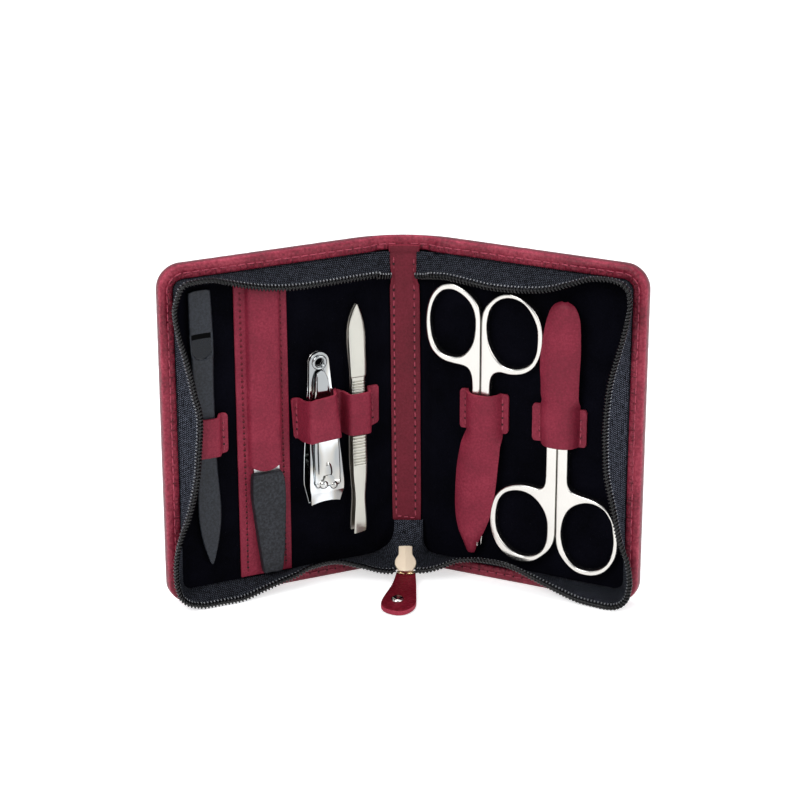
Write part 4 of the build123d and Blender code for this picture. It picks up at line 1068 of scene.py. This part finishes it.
NAIL_LEFT = (
    [(16.9, 54), (16.9, 66), (16.85, 70.8), (16.5, 73.6), (15.5, 75.7), (13.6, 76.6), (9.8, 76.9), (6.6, 77.5),
     (4.1, 78.9), (2.2, 81), (1.1, 83.7), (0.55, 86.5), (0.3, 89.4), (0.4, 92.3), (0.85, 95.6), (1.8, 98.8),
     (3.6, 101.7), (6.2, 103.8), (9.6, 104.6), (12.8, 103.7), (15.5, 102.1), (17.6, 100), (19, 97.6),
     (19.55, 94.6), (19.65, 91)],
    [(19.65, 86), (19.65, 60), (19.65, 40), (19.65, 28), (19.65, 18), (19.65, 12.4), (18.2, 12.4), (18.1, 18),
     (17.9, 28), (16.9, 38), (16.4, 44), (16.4, 48)],
    [(17.8, 92.2), (17.6, 94.3), (17.1, 96.3), (16.1, 98.3), (14.5, 100.1), (12.4, 101.5), (9.6, 102.4),
     (6.6, 101.8), (4.4, 99.9), (3, 97.4), (2.2, 94.7), (1.85, 92.1), (1.9, 89.6), (2.15, 87.3), (2.6, 85),
     (3.4, 82.8), (4.8, 80.9), (7, 79.6), (9.9, 79.2), (13, 79.9), (15.4, 82.2), (16.9, 85.1), (17.6, 88.3)])
NAIL_RIGHT = (
    [(23.1, 54), (23.1, 66), (23.15, 70.8), (23.5, 73.4), (24.6, 75.3), (26.8, 76.2), (30.8, 76), (35, 77),
     (38.4, 79.5), (40.4, 83.2), (41.3, 87), (41.5, 90), (41.3, 93.1), (40.6, 95.7), (39.5, 98), (37.9, 100),
     (35.9, 101.7), (33.3, 103.2), (30.3, 103.9), (27, 103.3), (24.2, 101.4), (21.8, 98.8), (20.4, 95.8),
     (19.98, 92.4)],
    [(19.95, 86), (19.95, 60), (19.95, 40), (19.95, 28), (19.95, 18), (19.95, 12.4), (21.4, 12.4), (21.6, 18),
     (22, 28), (23, 38), (23.6, 44), (23.6, 48)],
    [(39.6, 92), (39.2, 94.2), (38.3, 96.4), (36.9, 98.7), (35.3, 100.5), (33.1, 101.8), (30.3, 102.3),
     (27.4, 101.7), (24.9, 100), (23.1, 97.5), (22.3, 94.8), (21.95, 92.4), (21.95, 90.1), (22.2, 87.9),
     (22.7, 85.7), (23.7, 83.4), (25.2, 81.1), (27.5, 79.1), (30.7, 78.2), (34.3, 78.8), (37.4, 80.9),
     (39.1, 84.3), (39.6, 88)])
CUTICLE_LEFT = (
    [(43.5, 66), (43.5, 46), (43.45, 42), (43.2, 39.6), (42.4, 38.1), (40.8, 37.5), (38, 37.8), (35, 37.8),
     (31.6, 37.1), (28.3, 35.3), (25.7, 32.2), (24.4, 28.4), (23.9, 24.8), (24, 21.6), (24.6, 18.6),
     (25.7, 15.8), (27.3, 13.3), (29.7, 11.2), (32.7, 10), (36.2, 9.8), (39.8, 10.8), (42.8, 13.2), (45, 15.6),
     (46.5, 18.4), (47.1, 21.6)],
    [(47.15, 26), (47.15, 60), (47.15, 80), (47.15, 92), (47.15, 98.8), (45.7, 98.8), (45.7, 92), (44.6, 84),
     (43.8, 76), (43.4, 70)],
    [(44.3, 25.4), (43.9, 27.5), (43.2, 29.5), (42, 31.4), (40.5, 33.1), (38.4, 34.6), (35.7, 35.4),
     (32.5, 35.2), (29.3, 33.8), (27.1, 31), (26.2, 27.7), (25.9, 24.6), (26, 22), (26.5, 19.7), (27.5, 17.5),
     (29, 15.6), (31, 13.9), (33.3, 12.7), (36.1, 12.2), (39.2, 12.8), (42, 14.6), (43.7, 17.5), (44.3, 20.9)])
CUTICLE_RIGHT = (
    [(51.1, 66), (51.1, 46), (51.1, 43), (51.3, 40.6), (52.2, 38.9), (54, 37.9), (57.6, 37.2), (61.3, 36.4),
     (64.3, 34.9), (66.6, 32.2), (68.4, 28.5), (69.2, 24.2), (69.2, 20.6), (68.6, 17.5), (67.1, 14.3),
     (64.8, 11.5), (61.7, 9.7), (58.3, 9.2), (55.3, 9.6), (52.8, 10.9), (50.7, 12.8), (48.8, 15.4),
     (47.8, 18.3), (47.48, 21.4)],
    [(47.45, 26), (47.45, 60), (47.45, 80), (47.45, 92), (47.45, 98.8), (48.9, 98.8), (48.9, 92), (50, 84),
     (50.8, 76), (51.2, 70)],
    [(67.7, 23.5), (67.4, 26.4), (66.9, 29.2), (65.8, 31.9), (63.8, 33.9), (60.9, 35.1), (57.7, 35.1),
     (54.4, 33.8), (51.8, 31.5), (50.2, 28.4), (49.5, 25.2), (49.3, 22.5), (49.6, 20.2), (50.1, 18), (50.9, 16),
     (51.9, 14.2), (53.6, 12.5), (55.7, 11.4), (58.3, 11), (61.1, 11.5), (63.9, 12.9), (66, 15.3), (67.1, 18.1),
     (67.6, 20.9)])
NAIL_TAPER = [(12.4, 0.24), (18.0, 0.55), (28.0, 1.0), (200.0, 1.0)]
CUTICLE_TAPER = [(0.0, 1.0), (92.0, 1.0), (98.8, 0.28)]
for piece_name, cad_name, body_name, tables, pivot, up_way, top_layer, split_at, tip in (
        ("nail_left_half", "nail_scissors_left_half", "nail_scissors_swing", NAIL_LEFT, 47, False, True, 19.65,
         NAIL_TAPER),
        ("nail_right_half", "nail_scissors_right_half", "nail_scissors", NAIL_RIGHT, 47, False, False, 19.95,
         NAIL_TAPER),
        ("cuticle_left_half", "cuticle_scissors_left_half", "cuticle_scissors", CUTICLE_LEFT, 64, True, False,
         47.15, CUTICLE_TAPER),
        ("cuticle_right_half", "cuticle_scissors_right_half", "cuticle_scissors_swing", CUTICLE_RIGHT, 64, True,
         True, 47.45, CUTICLE_TAPER)):
    half = scissors_piece(piece_name, cad_name, *tables, pivot, up_way, top_layer, split_at, tip)
    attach(half, body_name)


# ---- zip slider's face and the puller ----
SLIDE_PITCH = math.radians(37)


def on_slider(x, along, up):
    """x across, along from the narrow end, up from the upper plate's face."""
    return Vector((0.8 + x, -9.7 - math.cos(SLIDE_PITCH) * along - math.sin(SLIDE_PITCH) * up,
                   10.4 - math.sin(SLIDE_PITCH) * along + math.cos(SLIDE_PITCH) * up)) * MM


def half_keyhole(neck, neck_run, disc, disc_at):
    """Right half of a keyhole outline from its top middle to its bottom middle: (x, along)."""
    start = math.asin(neck / disc) + 0.14
    points = [(0.0, 0.0), (neck * 0.5, 0.0), (neck - 0.25, 0.0), (neck, 0.25), (neck, neck_run * 0.5),
              (neck, neck_run), (neck + 0.06, neck_run + 0.25)]
    for k in range(25):
        turn = mix(start, math.pi, k / 24)
        points.append((disc * math.sin(turn), disc_at - disc * math.cos(turn)))
    return points


def keyhole_plate(neck, neck_run, disc, disc_at, shift, low, high, ridge, soft=0.16):
    """A keyhole plate with a ridge down its middle and a narrow bevel."""
    half = half_keyhole(neck, neck_run, disc, disc_at)
    rings = []
    for side in (1, -1):
        outer, inner, crest = [], [], []
        for i, (x, along) in enumerate(half):
            ahead, behind = half[min(i + 1, len(half) - 1)], half[max(i - 1, 0)]
            way = Vector((ahead[0] - behind[0], ahead[1] - behind[1])).normalized()
            inward = Vector((-way.y, way.x)) * soft
            ix, iy = x + inward.x, along + inward.y
            if i in (0, len(half) - 1):
                ix = 0.0
            outer.append((x, along))
            inner.append((max(0.0, ix), iy))
            crest.append((0.0, iy))
        rows = [[(x, y, low) for x, y in outer], [(x, y, high - soft) for x, y in outer],
                [(x, y, high + ridge * (1 - x / disc)) for x, y in inner],
                [(x, y, high + ridge) for x, y in crest]]
        rows.insert(0, [(0.0, y, low) for x, y in outer])
        verts = [on_slider(side * x, y + shift, up) for row in rows for x, y, up in row]
        rings.append((verts, grid_faces(len(rows), len(half), flip=side == -1)))
    return gather(rings)


def slider_shell():
    """Upper plate, lower plate, the post between them and the lug for the wire."""
    def block(x0, x1, along0, along1, up0, up1):
        corners = [on_slider(x, along, up) for up in (up0, up1) for along in (along0, along1) for x in (x0, x1)]
        return corners, [(0, 1, 3, 2), (4, 6, 7, 5), (0, 4, 5, 1), (2, 3, 7, 6), (0, 2, 6, 4), (1, 5, 7, 3)]

    verts, faces = gather([keyhole_plate(2.4, 3.1, 3.65, 6.3, 0.0, -1.0, 0.0, 0.42),
                           keyhole_plate(2.2, 2.6, 3.0, 4.9, 0.3, -4.4, -3.5, 0.0),
                           block(-0.8, 0.8, 0.6, 2.4, -3.6, -0.9), block(-1.1, 1.1, 7.3, 8.7, -2.2, -0.9)])
    obj = mesh_object("slider_shell", verts, faces, CHAMPAGNE, smooth_shade=False)
    modifier(obj, "WELD", merge_threshold=0.00001)
    apply_all(obj)
    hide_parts("slider_body")
    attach(obj, "zip_slider")


YAW, DROP = math.radians(5.5), math.radians(2.1)
RIVET_AT = (-1.05, 17.3)
PULL_HIDE = leather("puller_leather", (0.132, 0.003, 0.011), (0.082, 0.001, 0.006), (0.22, 0.010, 0.025), 0.5,
                    1100.0, 0.00014, gloss=0.16)


def on_puller(x, d, up):
    """x across, d from the eye along the puller, up from the leather's middle."""
    px, py = x * math.cos(YAW) - d * math.sin(YAW), -x * math.sin(YAW) - d * math.cos(YAW)
    return Vector((0.8 + px, -16.6 + py * math.cos(DROP) + up * math.sin(DROP),
                   1.94 + py * math.sin(DROP) + up * math.cos(DROP))) * MM


def puller():
    """Leather tag: straight on the right, flared on the left, with a domed rivet."""
    outline = catmull(
        [(3.3, -1.7), (3.35, -0.9), (3.75, 2), (4.25, 6.3), (4.78, 11.7), (5.2, 16), (5.35, 18.7), (5.05, 20.9),
         (4.2, 22.9), (2.45, 25), (0.2, 25.75), (-2.1, 25.4), (-4.2, 24.3), (-5.6, 22.7), (-6.2, 20.6),
         (-6.2, 18.2), (-5.65, 14.9), (-4.8, 11), (-4.2, 8.2), (-3.75, 4.85), (-3.45, 1.5), (-3.3, -0.9),
         (-3.25, -1.7)], 4)
    tag = flat_shape("puller_tag", [outline], 1.8, 0.45, PULL_HIDE, 3)
    for v in tag.data.vertices:
        x, y, z = v.co
        bend = 0.05 * noise.noise((x * 0.3, y * 0.2, 4.0)) + 0.25 * (1 - smooth(-0.6, 2.0, y))
        v.co = on_puller(x, y, z + bend)
    tag.data.materials.append(CUT_EDGE)
    tag.data.update()
    for poly in tag.data.polygons:
        if abs(poly.normal.z) < 0.6:
            poly.material_index = 1
    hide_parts("puller_leather")
    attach(tag, "zip_puller")
    # rivet: a low dome with a rolled edge
    rows, around = 12, 40
    verts = []
    for i in range(rows + 1):
        t = i / rows
        r, up = 2.15 * math.sin(t * math.pi / 2), 0.92 + 0.78 * math.cos(t * math.pi / 2)
        for k in range(around):
            turn = 2 * math.pi * k / around
            verts.append(on_puller(RIVET_AT[0] + r * math.cos(turn), RIVET_AT[1] + r * math.sin(turn), up))
    faces = grid_faces(rows + 1, around, close_cols=True, flip=True)
    dome = mesh_object("rivet_dome", verts, faces, RIVET)
    modifier(dome, "WELD", merge_threshold=0.000005)
    apply_smooth(dome)
    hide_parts("puller_rivet")
    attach(dome, "zip_puller")


def puller_wire():
    """Gold wire: an arc over each half of the tag's root, dipping into the leather between them."""
    half = [(2.6, -3.4, 0.4), (2.8, -2.2, 0.9), (2.6, -0.9, 1.45), (2.1, 0, 1.6), (1.4, 0.25, 1.6),
            (0.8, 0.05, 1.4), (0.4, -0.15, 0.7), (0, -0.2, 0.2)]
    path = [(-x, d, up) for x, d, up in half] + [(x, d, up) for x, d, up in half[::-1][1:]]
    path += [(1.4, -4.2, 0.2), (-1.4, -4.2, 0.2)]
    bent = [on_puller(*p) for p in catmull(path, 6, closed=True)]
    obj = mesh_object("puller_wire", *tube(bent, 0.33 * MM, 10, closed=True), GOLD)
    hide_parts("puller_bail")
    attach(obj, "zip_puller")


slider_shell()
puller()
puller_wire()

# ---- nail file's grip ----
grip_edge = catmull(
    [(46.1, 42.4), (46.45, 39.5), (46.45, 34.7), (45.8, 29), (45.1, 23.3), (44.3, 16.9), (43.5, 11.1),
     (43, 7.6), (42.4, 6.9), (40.4, 7.1), (38, 6.8), (36.7, 7.2), (36.1, 8.6), (35.5, 15.2), (35, 26.3),
     (34.8, 33.6), (34.95, 38.6), (35.5, 41.6), (36.1, 43), (36.9, 43.3), (41, 43.2), (45.2, 43.1)], 4,
    closed=True)
grip = flat_shape("file_grip", [grip_edge], 3.0, 0.55, GRIP, 4)
seat(grip, lambda a, z, q: cover(LEFT, a, 2.5 + q * (1 + 0.12 * math.sin((z - 6) / 37 * math.pi)), z))
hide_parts("nail_file_handle")
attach(grip, "nail_file")


# ---- clipper's lever and eyelet ----
LOOP_Z = 59.0                 # the tools lean about this height
CLIPPER_A, CLIPPER_LEAN = 22.2, math.radians(-2.0)
LEVER_LOW, LEVER_HIGH = 36.4, 77.3


def leant(middle, lean, da, z):
    """A tool's lean in its loop: da across from its middle, at height z."""
    dz = z - LOOP_Z
    return (middle + da * math.cos(lean) - dz * math.sin(lean),
            LOOP_Z + da * math.sin(lean) + dz * math.cos(lean))


def lever_piece():
    rows, cols = 80, 28
    widths = [(36.4, 4.1), (37.4, 4.4), (40, 4.5), (50, 4.45), (58, 3.9), (66, 3.15), (72, 2.55), (75, 2.1),
              (76.4, 1.6), (77.1, 0.9), (77.3, 0.25)]
    spine = [(36.4, 7.1), (37, 7.75), (38.5, 7.95), (44, 7.9), (50, 7.95), (54, 7.85), (60, 7.3), (68, 6.6),
             (74, 6.15), (77.3, 5.9)]
    smooth_spine = catmull(spine, 6)
    verts = []
    for i in range(rows + 1):
        z = mix(LEVER_LOW, LEVER_HIGH, i / rows)
        half, level = table_at(widths, z), table_at(smooth_spine, z)
        for j in range(cols + 1):
            t = -1 + 2 * j / cols
            flange = 0.42 * smooth(0.62, 0.9, abs(t)) * smooth(38.0, 44.0, z) * (1 - smooth(73.5, 76.8, z))
            scoop = -0.25 * (1 - t * t) * smooth(60.0, 66.0, z) * (1 - smooth(73.0, 76.0, z))
            drop = math.hypot(t * half / 1.5, (z - 42.2) / (4.0 if z > 42.2 else 2.6))
            boss = 0.55 * (1 - smooth(0.55, 1.0, drop))
            fold = 0.5 * math.exp(-((z - 37.9) / 0.8) ** 2)
            n = level + 1.15 + flange + scoop + boss + fold - 0.5 * smooth(0.9, 1.0, abs(t))
            a, zz = leant(CLIPPER_A, CLIPPER_LEAN, half * t, z)
            verts.append(cover(LEFT, a, n - 0.55, zz))
    obj = mesh_object("lever_shell", verts, grid_faces(rows + 1, cols + 1), CHROME)
    modifier(obj, "SOLIDIFY", thickness=0.8 * MM, offset=-1.0, use_even_offset=True)
    soften(obj, 0.15)
    apply_smooth(obj)
    balls = []
    for shift, z, size in ((-1.75, 37.2, 1.5), (1.85, 38.1, 1.75)):
        a, zz = leant(CLIPPER_A, CLIPPER_LEAN, shift, z)
        centre = cover(LEFT, a, 8.35, zz)
        rings = []
        for i in range(1, 12):
            t = math.pi * i / 12
            for k in range(20):
                p = 2 * math.pi * k / 20
                ball = Vector((math.sin(t) * math.cos(p), math.sin(t) * math.sin(p), math.cos(t)))
                rings.append(centre + ball * size * MM)
        faces = grid_faces(11, 20, close_cols=True)
        faces += [tuple(range(20)), tuple(range(10 * 20, 11 * 20))[::-1]]
        balls.append((rings, faces))
    knobs = mesh_object("lever_knobs", *gather(balls), CHROME)
    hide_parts("clipper_lever")
    for piece in (obj, knobs):
        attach(piece, "clipper_thumb_lever")
    # ring round the hole in the arms
    path = []
    for k in range(48):
        t = 2 * math.pi * k / 48
        a, zz = leant(CLIPPER_A, CLIPPER_LEAN, 2.05 * math.cos(t), 79.9 + 2.05 * math.sin(t))
        path.append(cover(LEFT, a, 5.28, zz))
    ring = mesh_object("eyelet_ring", *tube(path, 0.62 * MM, 10, closed=True), CHROME)
    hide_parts("clipper_eyelet")
    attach(ring, "clipper")


lever_piece()


# ---- black pusher: a flat blade with a dished scoop near its top ----
PUSHER_A, PUSHER_LEAN = 61.4, math.radians(-1.19)
PUSHER_LOW, PUSHER_HIGH = 13.1, 109.25
SCOOP = matte("scoop_gloss", (0.003, 0.005, 0.009), 0.16, 2200.0, 0.000003, Specular_IOR_Level=0.24)
# painted shadow: a near-black band at the top of the scoop, under its upper wall
SCOOP_PAINTED_SHADOW = matte("scoop_painted_shadow", (0.0008, 0.0008, 0.001), 0.5, 2200.0, 0.000003, Specular_IOR_Level=0.03)


def pusher_piece():
    halves = [(13.1, 0.12), (13.6, 0.55), (15, 1.1), (17.5, 1.85), (21, 2.75), (26, 3.6), (31, 4.05), (36, 4),
              (43, 3.65), (50, 3.4), (72, 3.4), (82, 3.75), (93, 4.05), (107.6, 3.85), (108.5, 3.6), (109, 3.1),
              (109.25, 2.2)]
    curve = catmull(halves, 5)
    cols = 22
    levels = [PUSHER_LOW + 0.3 * i for i in range(321)] + [PUSHER_HIGH]
    verts, in_scoop = [], []
    for z in levels:
        half = table_at(curve, z)
        for j in range(cols + 1):
            t = -1 + 2 * j / cols
            x = half * t
            drop = max(0.0, 88.7 - z)
            reach = math.hypot(x, drop * 1.1)
            inside = 1 - smooth(0.9, 1.0, reach / 3.7)
            bowl = inside * (1 - smooth(94.3, 94.7, z)) * mix(0.55, 1.0, smooth(86.0, 94.0, z))
            lip = 0.22 * math.exp(-((reach - 3.85) / 0.35) ** 2) * (1 - smooth(88.0, 90.0, z))
            bowl *= 1 - 0.5 * (x / 3.7) ** 2
            n = 1.7 - 0.85 * bowl + lip - 0.35 * smooth(0.86, 1.0, abs(t))
            a, zz = leant(PUSHER_A, PUSHER_LEAN, x, z)
            verts.append(cover(LEFT, a, n, zz))
            # 2 marks the painted shadow band at the scoop's top, 1 the rest of the scoop
            in_scoop.append(0 if bowl <= 0.05 else 2 if z > 92.3 else 1)
    faces = grid_faces(len(levels), cols + 1)
    obj = mesh_object("pusher_blade", verts, faces, BLACK)
    obj.data.materials.append(SCOOP)
    obj.data.materials.append(SCOOP_PAINTED_SHADOW)
    for poly in obj.data.polygons:
        poly.material_index = min(in_scoop[i] for i in poly.vertices)
    modifier(obj, "SOLIDIFY", thickness=1.1 * MM, offset=-1.0)
    apply_smooth(obj)
    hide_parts("cuticle_pusher")
    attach(obj, "pusher")


pusher_piece()


# ---- tweezers' front leg ----
TWEEZERS_A, TWEEZERS_LOW, TWEEZERS_HIGH = 8.3, 16.2, 96.9
CHAMPAGNE_STEEL = metal("satin_champagne", (0.52, 0.51, 0.46), 0.3, (0.06, 1, 1), 0.000008, 0.06)


def tweezer_leg():
    shares = [(0, 2.2), (0.05, 2.2), (0.1, 1.95), (0.15, 1.75), (0.2, 1.95), (0.27, 2.4), (0.4, 2.45),
              (0.66, 2.3), (0.683, 2.3), (0.7, 2.66), (0.8, 2.85), (0.88, 2.85), (0.93, 2.3), (0.97, 1.25),
              (0.99, 0.6), (1, 0.15)]
    length = TWEEZERS_HIGH - TWEEZERS_LOW
    profile = catmull(shares, 4)
    bow = [(-20.0, 0.0), (0.0, 0.0), (0.187, 0.45), (0.394, 0.69), (0.67, 0.93), (0.947, 1.0), (1.02, 0.83)]
    cols = 12
    levels = []
    z = TWEEZERS_LOW
    while z < TWEEZERS_HIGH:
        levels.append(z)
        z += 0.125 if 39.0 < z < 75.5 else 0.6
    levels.append(96.88)
    verts = []
    for z in levels:
        share = (z - TWEEZERS_LOW) / length
        half = table_at(profile, share)
        n = 1.3 + 2.9 * table_at(bow, (88.5 - z) / (88.5 - TWEEZERS_LOW)) + 1.0
        ribbed = smooth(40.6, 41.2, z) * (1 - smooth(70.2, 70.6, z))
        groove = -0.4 * (0.5 + 0.5 * math.cos(2 * math.pi * z / 1.05)) ** 2 * ribbed
        step = 0.22 * smooth(71.8, 72.2, z) - 0.1 * (1 - smooth(39.0, 41.0, z))
        slant = 0.9 * (1 - smooth(TWEEZERS_LOW, 18.4, z))
        for j in range(cols + 1):
            t = -1 + 2 * j / cols
            round_off = -0.22 * smooth(0.8, 1.0, abs(t)) - 0.10 * t * t
            cut = -0.35 * t * (1 - smooth(TWEEZERS_LOW, 17.2, z))
            level = n + groove + step + round_off - 0.22 * slant
            verts.append(cover(LEFT, TWEEZERS_A + half * t, level, z + cut))
    obj = mesh_object("tweezer_leg", verts, grid_faces(len(levels), cols + 1), CHAMPAGNE_STEEL)
    modifier(obj, "SOLIDIFY", thickness=0.9 * MM, offset=-1.0)
    apply_smooth(obj)
    modifier(obj, "EDGE_SPLIT", split_angle=math.radians(50))
    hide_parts("tweezers_front_leg")
    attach(obj, "tweezers_leg")


tweezer_leg()


# ---- parts kept from the model: their finish, with softened edges ----
def dress(name, material, soft=0.0):
    node = NODES[name]
    if not node.material_slots:
        node.data.materials.append(material)
    for slot in node.material_slots:
        slot.link = "OBJECT"
        slot.material = material
    if soft:
        modifier(node, "WELD", merge_threshold=0.000002)
        soften(node, soft, 3, 35, harden_normals=True)


# painted shade and reflection: a darker copy of the satin steel for the tweezers' back leg, which lies in shade
# and mirrors the black lining
BACK_LEG_SHADED_STEEL = metal("back_leg_shaded_steel", (0.30, 0.28, 0.25), 0.32, (0.06, 1, 1), 0.000008, 0.06)
KEPT = {
    "left_cover_board": (BOARD, 0), "right_cover_board": (BOARD, 0), "nail_file_blade": (FILE, 0.15),
    "clipper_lower_arm": (CHROME, 0.2), "clipper_upper_arm": (CHROME, 0.2), "clipper_pin": (CHROME, 0.15),
    "tweezers_back_leg": (BACK_LEG_SHADED_STEEL, 0.15), "nail_scissors_screw": (STEEL, 0.1),
    "cuticle_scissors_screw": (STEEL, 0.1),
}
for node_name, (finish, softening) in KEPT.items():
    dress(node_name, finish, softening)

# ---- camera ----
AIM = Vector((0, -2.66, 59)) * MM
DISTANCE, TILT = 907 * MM, math.radians(21.8)
lens = bpy.data.cameras.new("camera")
lens.sensor_width = 36
lens.lens = 122.2
lens.shift_x = -3.1 / 800
lens.shift_y = 4.8 / 800
lens.clip_start = 0.01
eye = bpy.data.objects.new("camera", lens)
eye.location = AIM + Vector((0, -math.cos(TILT), math.sin(TILT))) * DISTANCE
eye.rotation_euler = (math.pi / 2 - TILT, 0, 0)
bpy.context.scene.collection.objects.link(eye)
bpy.context.scene.camera = eye


# ---- lights ----
def area_light(name, place, aim, size, power, color=(1, 1, 1)):
    data = bpy.data.lights.new(name, "AREA")
    data.shape = "RECTANGLE"
    data.size, data.size_y = size
    data.energy = power
    data.color = color
    lamp = bpy.data.objects.new(name, data)
    lamp.location = place
    lamp.rotation_euler = (Vector(aim) - Vector(place)).to_track_quat("-Z", "Y").to_euler()
    bpy.context.scene.collection.objects.link(lamp)


area_light("key", (-0.45, -0.75, 0.75), (0, 0, 0.05), (0.5, 0.5), 5.5)
area_light("fill", (0.75, -0.6, 0.45), (0, 0, 0.05), (0.5, 0.7), 2.6)
area_light("top", (0.0, 0.05, 0.9), (0, 0, 0.05), (0.8, 0.5), 2.4)

world = bpy.data.worlds.new("studio")
world.use_nodes = True
bpy.context.scene.world = world
sky = Nodes(world.node_tree)
rays = sky.node("ShaderNodeLightPath")
direct = sky.math("MAXIMUM", rays.outputs["Is Camera Ray"], rays.outputs["Is Transmission Ray"])
mirrored = sky.math("MAXIMUM", direct, rays.outputs["Is Glossy Ray"])
way = sky.node("ShaderNodeTexCoord").outputs["Generated"]
fade = sky.ramp(sky.node("ShaderNodeSeparateXYZ", i0=way).outputs[2], [(0.25, WHITE), (0.8, GREY)])
clouds = sky.node("ShaderNodeTexNoise", Vector=way, Scale=2.2, Detail=1.0).outputs[0]
screens = sky.ramp(clouds, [(0.42, GREY), (0.5, WHITE)])
seen = world.node_tree.nodes["Background"]
seen.inputs[1].default_value = 1.0
sky.tree.links.new(sky.blend(fade, screens, rays.outputs["Is Glossy Ray"], "MULTIPLY"), seen.inputs[0])
unseen = sky.node("ShaderNodeBackground", i0=(0.92, 0.95, 1.0, 1), i1=0.45)
either = sky.node("ShaderNodeMixShader", i0=mirrored, i1=unseen.outputs[0], i2=seen.outputs[0])
sky.tree.links.new(either.outputs[0], world.node_tree.nodes["World Output"].inputs[0])

# ---- floor: white where it is seen or mirrored, and it keeps the shadow ----
floor_shade = Shade("floor", (0.86, 0.86, 0.86), 0.95, Specular_IOR_Level=0.1)
floor_shade.bump(floor_shade.noise(300.0, 2.0), 0.00001, 0.2)
rays = floor_shade.node("ShaderNodeLightPath")
shown = floor_shade.math("MAXIMUM", rays.outputs["Is Camera Ray"], rays.outputs["Is Glossy Ray"])
floor_shade.surface.inputs["Emission Color"].default_value = (1, 1, 1, 1)
floor_shade.drive("Emission Strength", floor_shade.math("MULTIPLY", shown, 0.62))
floor = mesh_object("floor", [(-3, -3, 0), (3, -3, 0), (3, 3, 0), (-3, 3, 0)], [(0, 1, 2, 3)],
                    floor_shade.material)
floor.location = (0, 0, -0.0002)

bpy.context.scene.view_settings.view_transform = "Standard"
